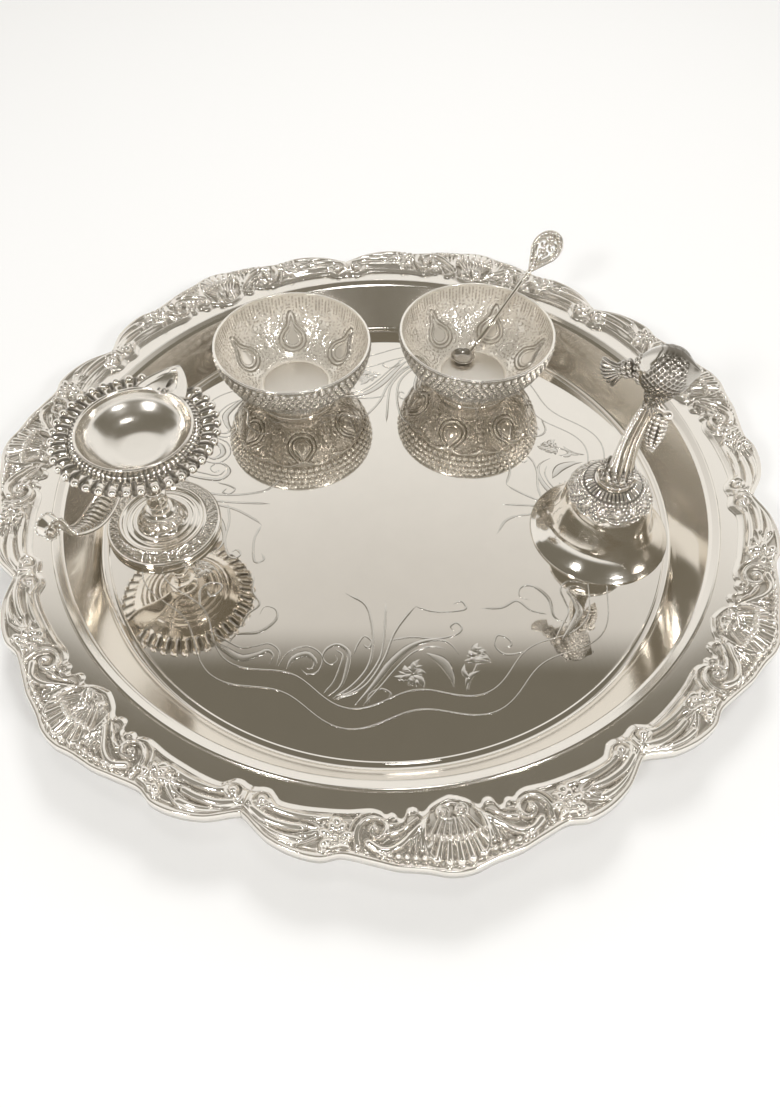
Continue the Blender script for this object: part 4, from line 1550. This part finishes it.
# Studio: white floor, and a soft sky. Ahead stands a pale wall whose top edge is a slope of the height
# over the depth; overhead and behind the viewer it is dim, and small lamps give the glints. Lamps are
# (place, size, power, seen in mirrors).
studio = {
    "floor": 0.85, "glow": 0.19, "farGlow": 0.57, "far": (0.6, 1.7), "floorSize": 6.0, "floorRough": 0.9,
    "pale": (0.90, 0.885, 0.85), "upper": (0.65, 0.625, 0.585), "dim": (0.178, 0.162, 0.128),
    "fade": (0.66, 0.86), "slope": 1.70, "soft": 0.06, "horizon": (0.27, 0.42),
    "lamps": [
        ((-0.55, -0.85, 0.85), 0.16, 4.2, True), ((0.62, -0.80, 0.85), 0.16, 4.2, True),
        ((0.1, -0.12, 1.4), 0.2, 1.0, True), ((0.1, 0.62, 1.1), 0.4, 4.6, False),
    ],
}


# Floor: a plain pale paint that looks white to the eye and in reflections, and keeps its shadow; its glow
# grows with the distance from the middle, where the lamps no longer reach.
def makeFloor(v):
    half = v["floorSize"] / 2
    mesh = bpy.data.meshes.new("studioFloor")
    corners = [(-half, -half, 0), (half, -half, 0), (half, half, 0), (-half, half, 0)]
    mesh.from_pydata(corners, [], [(0, 1, 2, 3)])
    floor = bpy.data.objects.new("studioFloor", mesh)
    bpy.context.scene.collection.objects.link(floor)
    paint = bpy.data.materials.new("floorPaint")
    paint.use_nodes = True
    tree = paint.node_tree
    place = addNode(tree, "TexCoord", {}).outputs["Object"]
    reach = addNode(tree, "VectorMath", {0: place}, operation="LENGTH").outputs["Value"]
    far = softMask(tree, reach, *v["far"])
    glow = addMath(tree, "ADD", addMath(tree, "MULTIPLY", far, v["farGlow"] - v["glow"]), v["glow"])
    path = addNode(tree, "LightPath", {}).outputs
    seen = addMath(tree, "ADD", path["Is Camera Ray"], path["Is Glossy Ray"])
    seen = addMath(tree, "MINIMUM", addMath(tree, "ADD", seen, path["Is Transmission Ray"]), 1.0)
    fillNode(tree, tree.nodes["Principled BSDF"], {
        "Base Color": (v["floor"], v["floor"], v["floor"], 1), "Roughness": v["floorRough"],
        "Specular IOR Level": 0.0, "Emission Color": (1, 1, 1, 1),
        "Emission Strength": addMath(tree, "MULTIPLY", seen, glow),
    })
    mesh.materials.append(paint)


# Sky: the larger of two masks, of the wall and of the low sky all round, mixes the dim colour to the pale.
def makeStudio(v):
    scene = bpy.context.scene
    makeFloor(v)
    world = bpy.data.worlds.new("studioSky")
    world.use_nodes = True
    scene.world = world
    tree = world.node_tree
    place = addNode(tree, "TexCoord", {}).outputs["Generated"]
    split = addNode(tree, "SeparateXYZ", {"Vector": place})
    y, z = split.outputs["Y"], split.outputs["Z"]
    edge = addMath(tree, "SUBTRACT", z, addMath(tree, "MULTIPLY", y, v["slope"]))
    wall = softMask(tree, edge, v["soft"], -v["soft"])
    low = softMask(tree, z, v["horizon"][1], v["horizon"][0])
    pale = mixColours(tree, softMask(tree, z, *v["fade"]), v["pale"], v["upper"])
    sky = mixColours(tree, addMath(tree, "MAXIMUM", wall, low), v["dim"], pale)
    fillNode(tree, tree.nodes["Background"], {"Color": sky})
    for i, (spot, size, power, mirrored) in enumerate(v["lamps"]):
        lamp = bpy.data.lights.new(f"softLamp{i + 1}", "AREA")
        lamp.shape = "DISK"
        lamp.size = size
        lamp.energy = power
        holder = bpy.data.objects.new(lamp.name, lamp)
        holder.location = spot
        holder.visible_glossy = mirrored
        holder.rotation_euler = (-Vector(spot)).to_track_quat("-Z", "Y").to_euler()
        scene.collection.objects.link(holder)


makeStudio(studio)

# Camera of the picture: focal length and middle are in picture pixels of a 780 by 1108 frame.
picture = {
    "place": (1.28, -240.98, 286.15), "pitch": 51.93, "roll": 0.47, "focal": 840.0,
    "middle": (388.95, 535.76),
    "size": (780, 1108), "sensor": 36.0, "nearest": 0.01,
}


# Camera: the lens is the focal length, and the shifts the middle's offset, as shares of the height.
def makeCamera(v):
    wide, tall = v["size"]
    data = bpy.data.cameras.new("pictureCamera")
    data.sensor_fit = "VERTICAL"
    data.sensor_height = v["sensor"]
    data.lens = v["focal"] / tall * v["sensor"]
    data.shift_x = (wide / 2 - v["middle"][0]) / tall
    data.shift_y = -(tall / 2 - v["middle"][1]) / tall
    data.clip_start = v["nearest"]
    camera = bpy.data.objects.new("pictureCamera", data)
    pitch = Matrix.Rotation(math.radians(90 - v["pitch"]), 4, "X")
    roll = Matrix.Rotation(math.radians(v["roll"]), 4, "Z")
    camera.matrix_world = Matrix.Translation([c * mm for c in v["place"]]) @ pitch @ roll
    bpy.context.scene.collection.objects.link(camera)
    bpy.context.scene.camera = camera


makeCamera(picture)
bpy.context.scene.view_settings.view_transform = "Standard"

print("studio and camera ready")
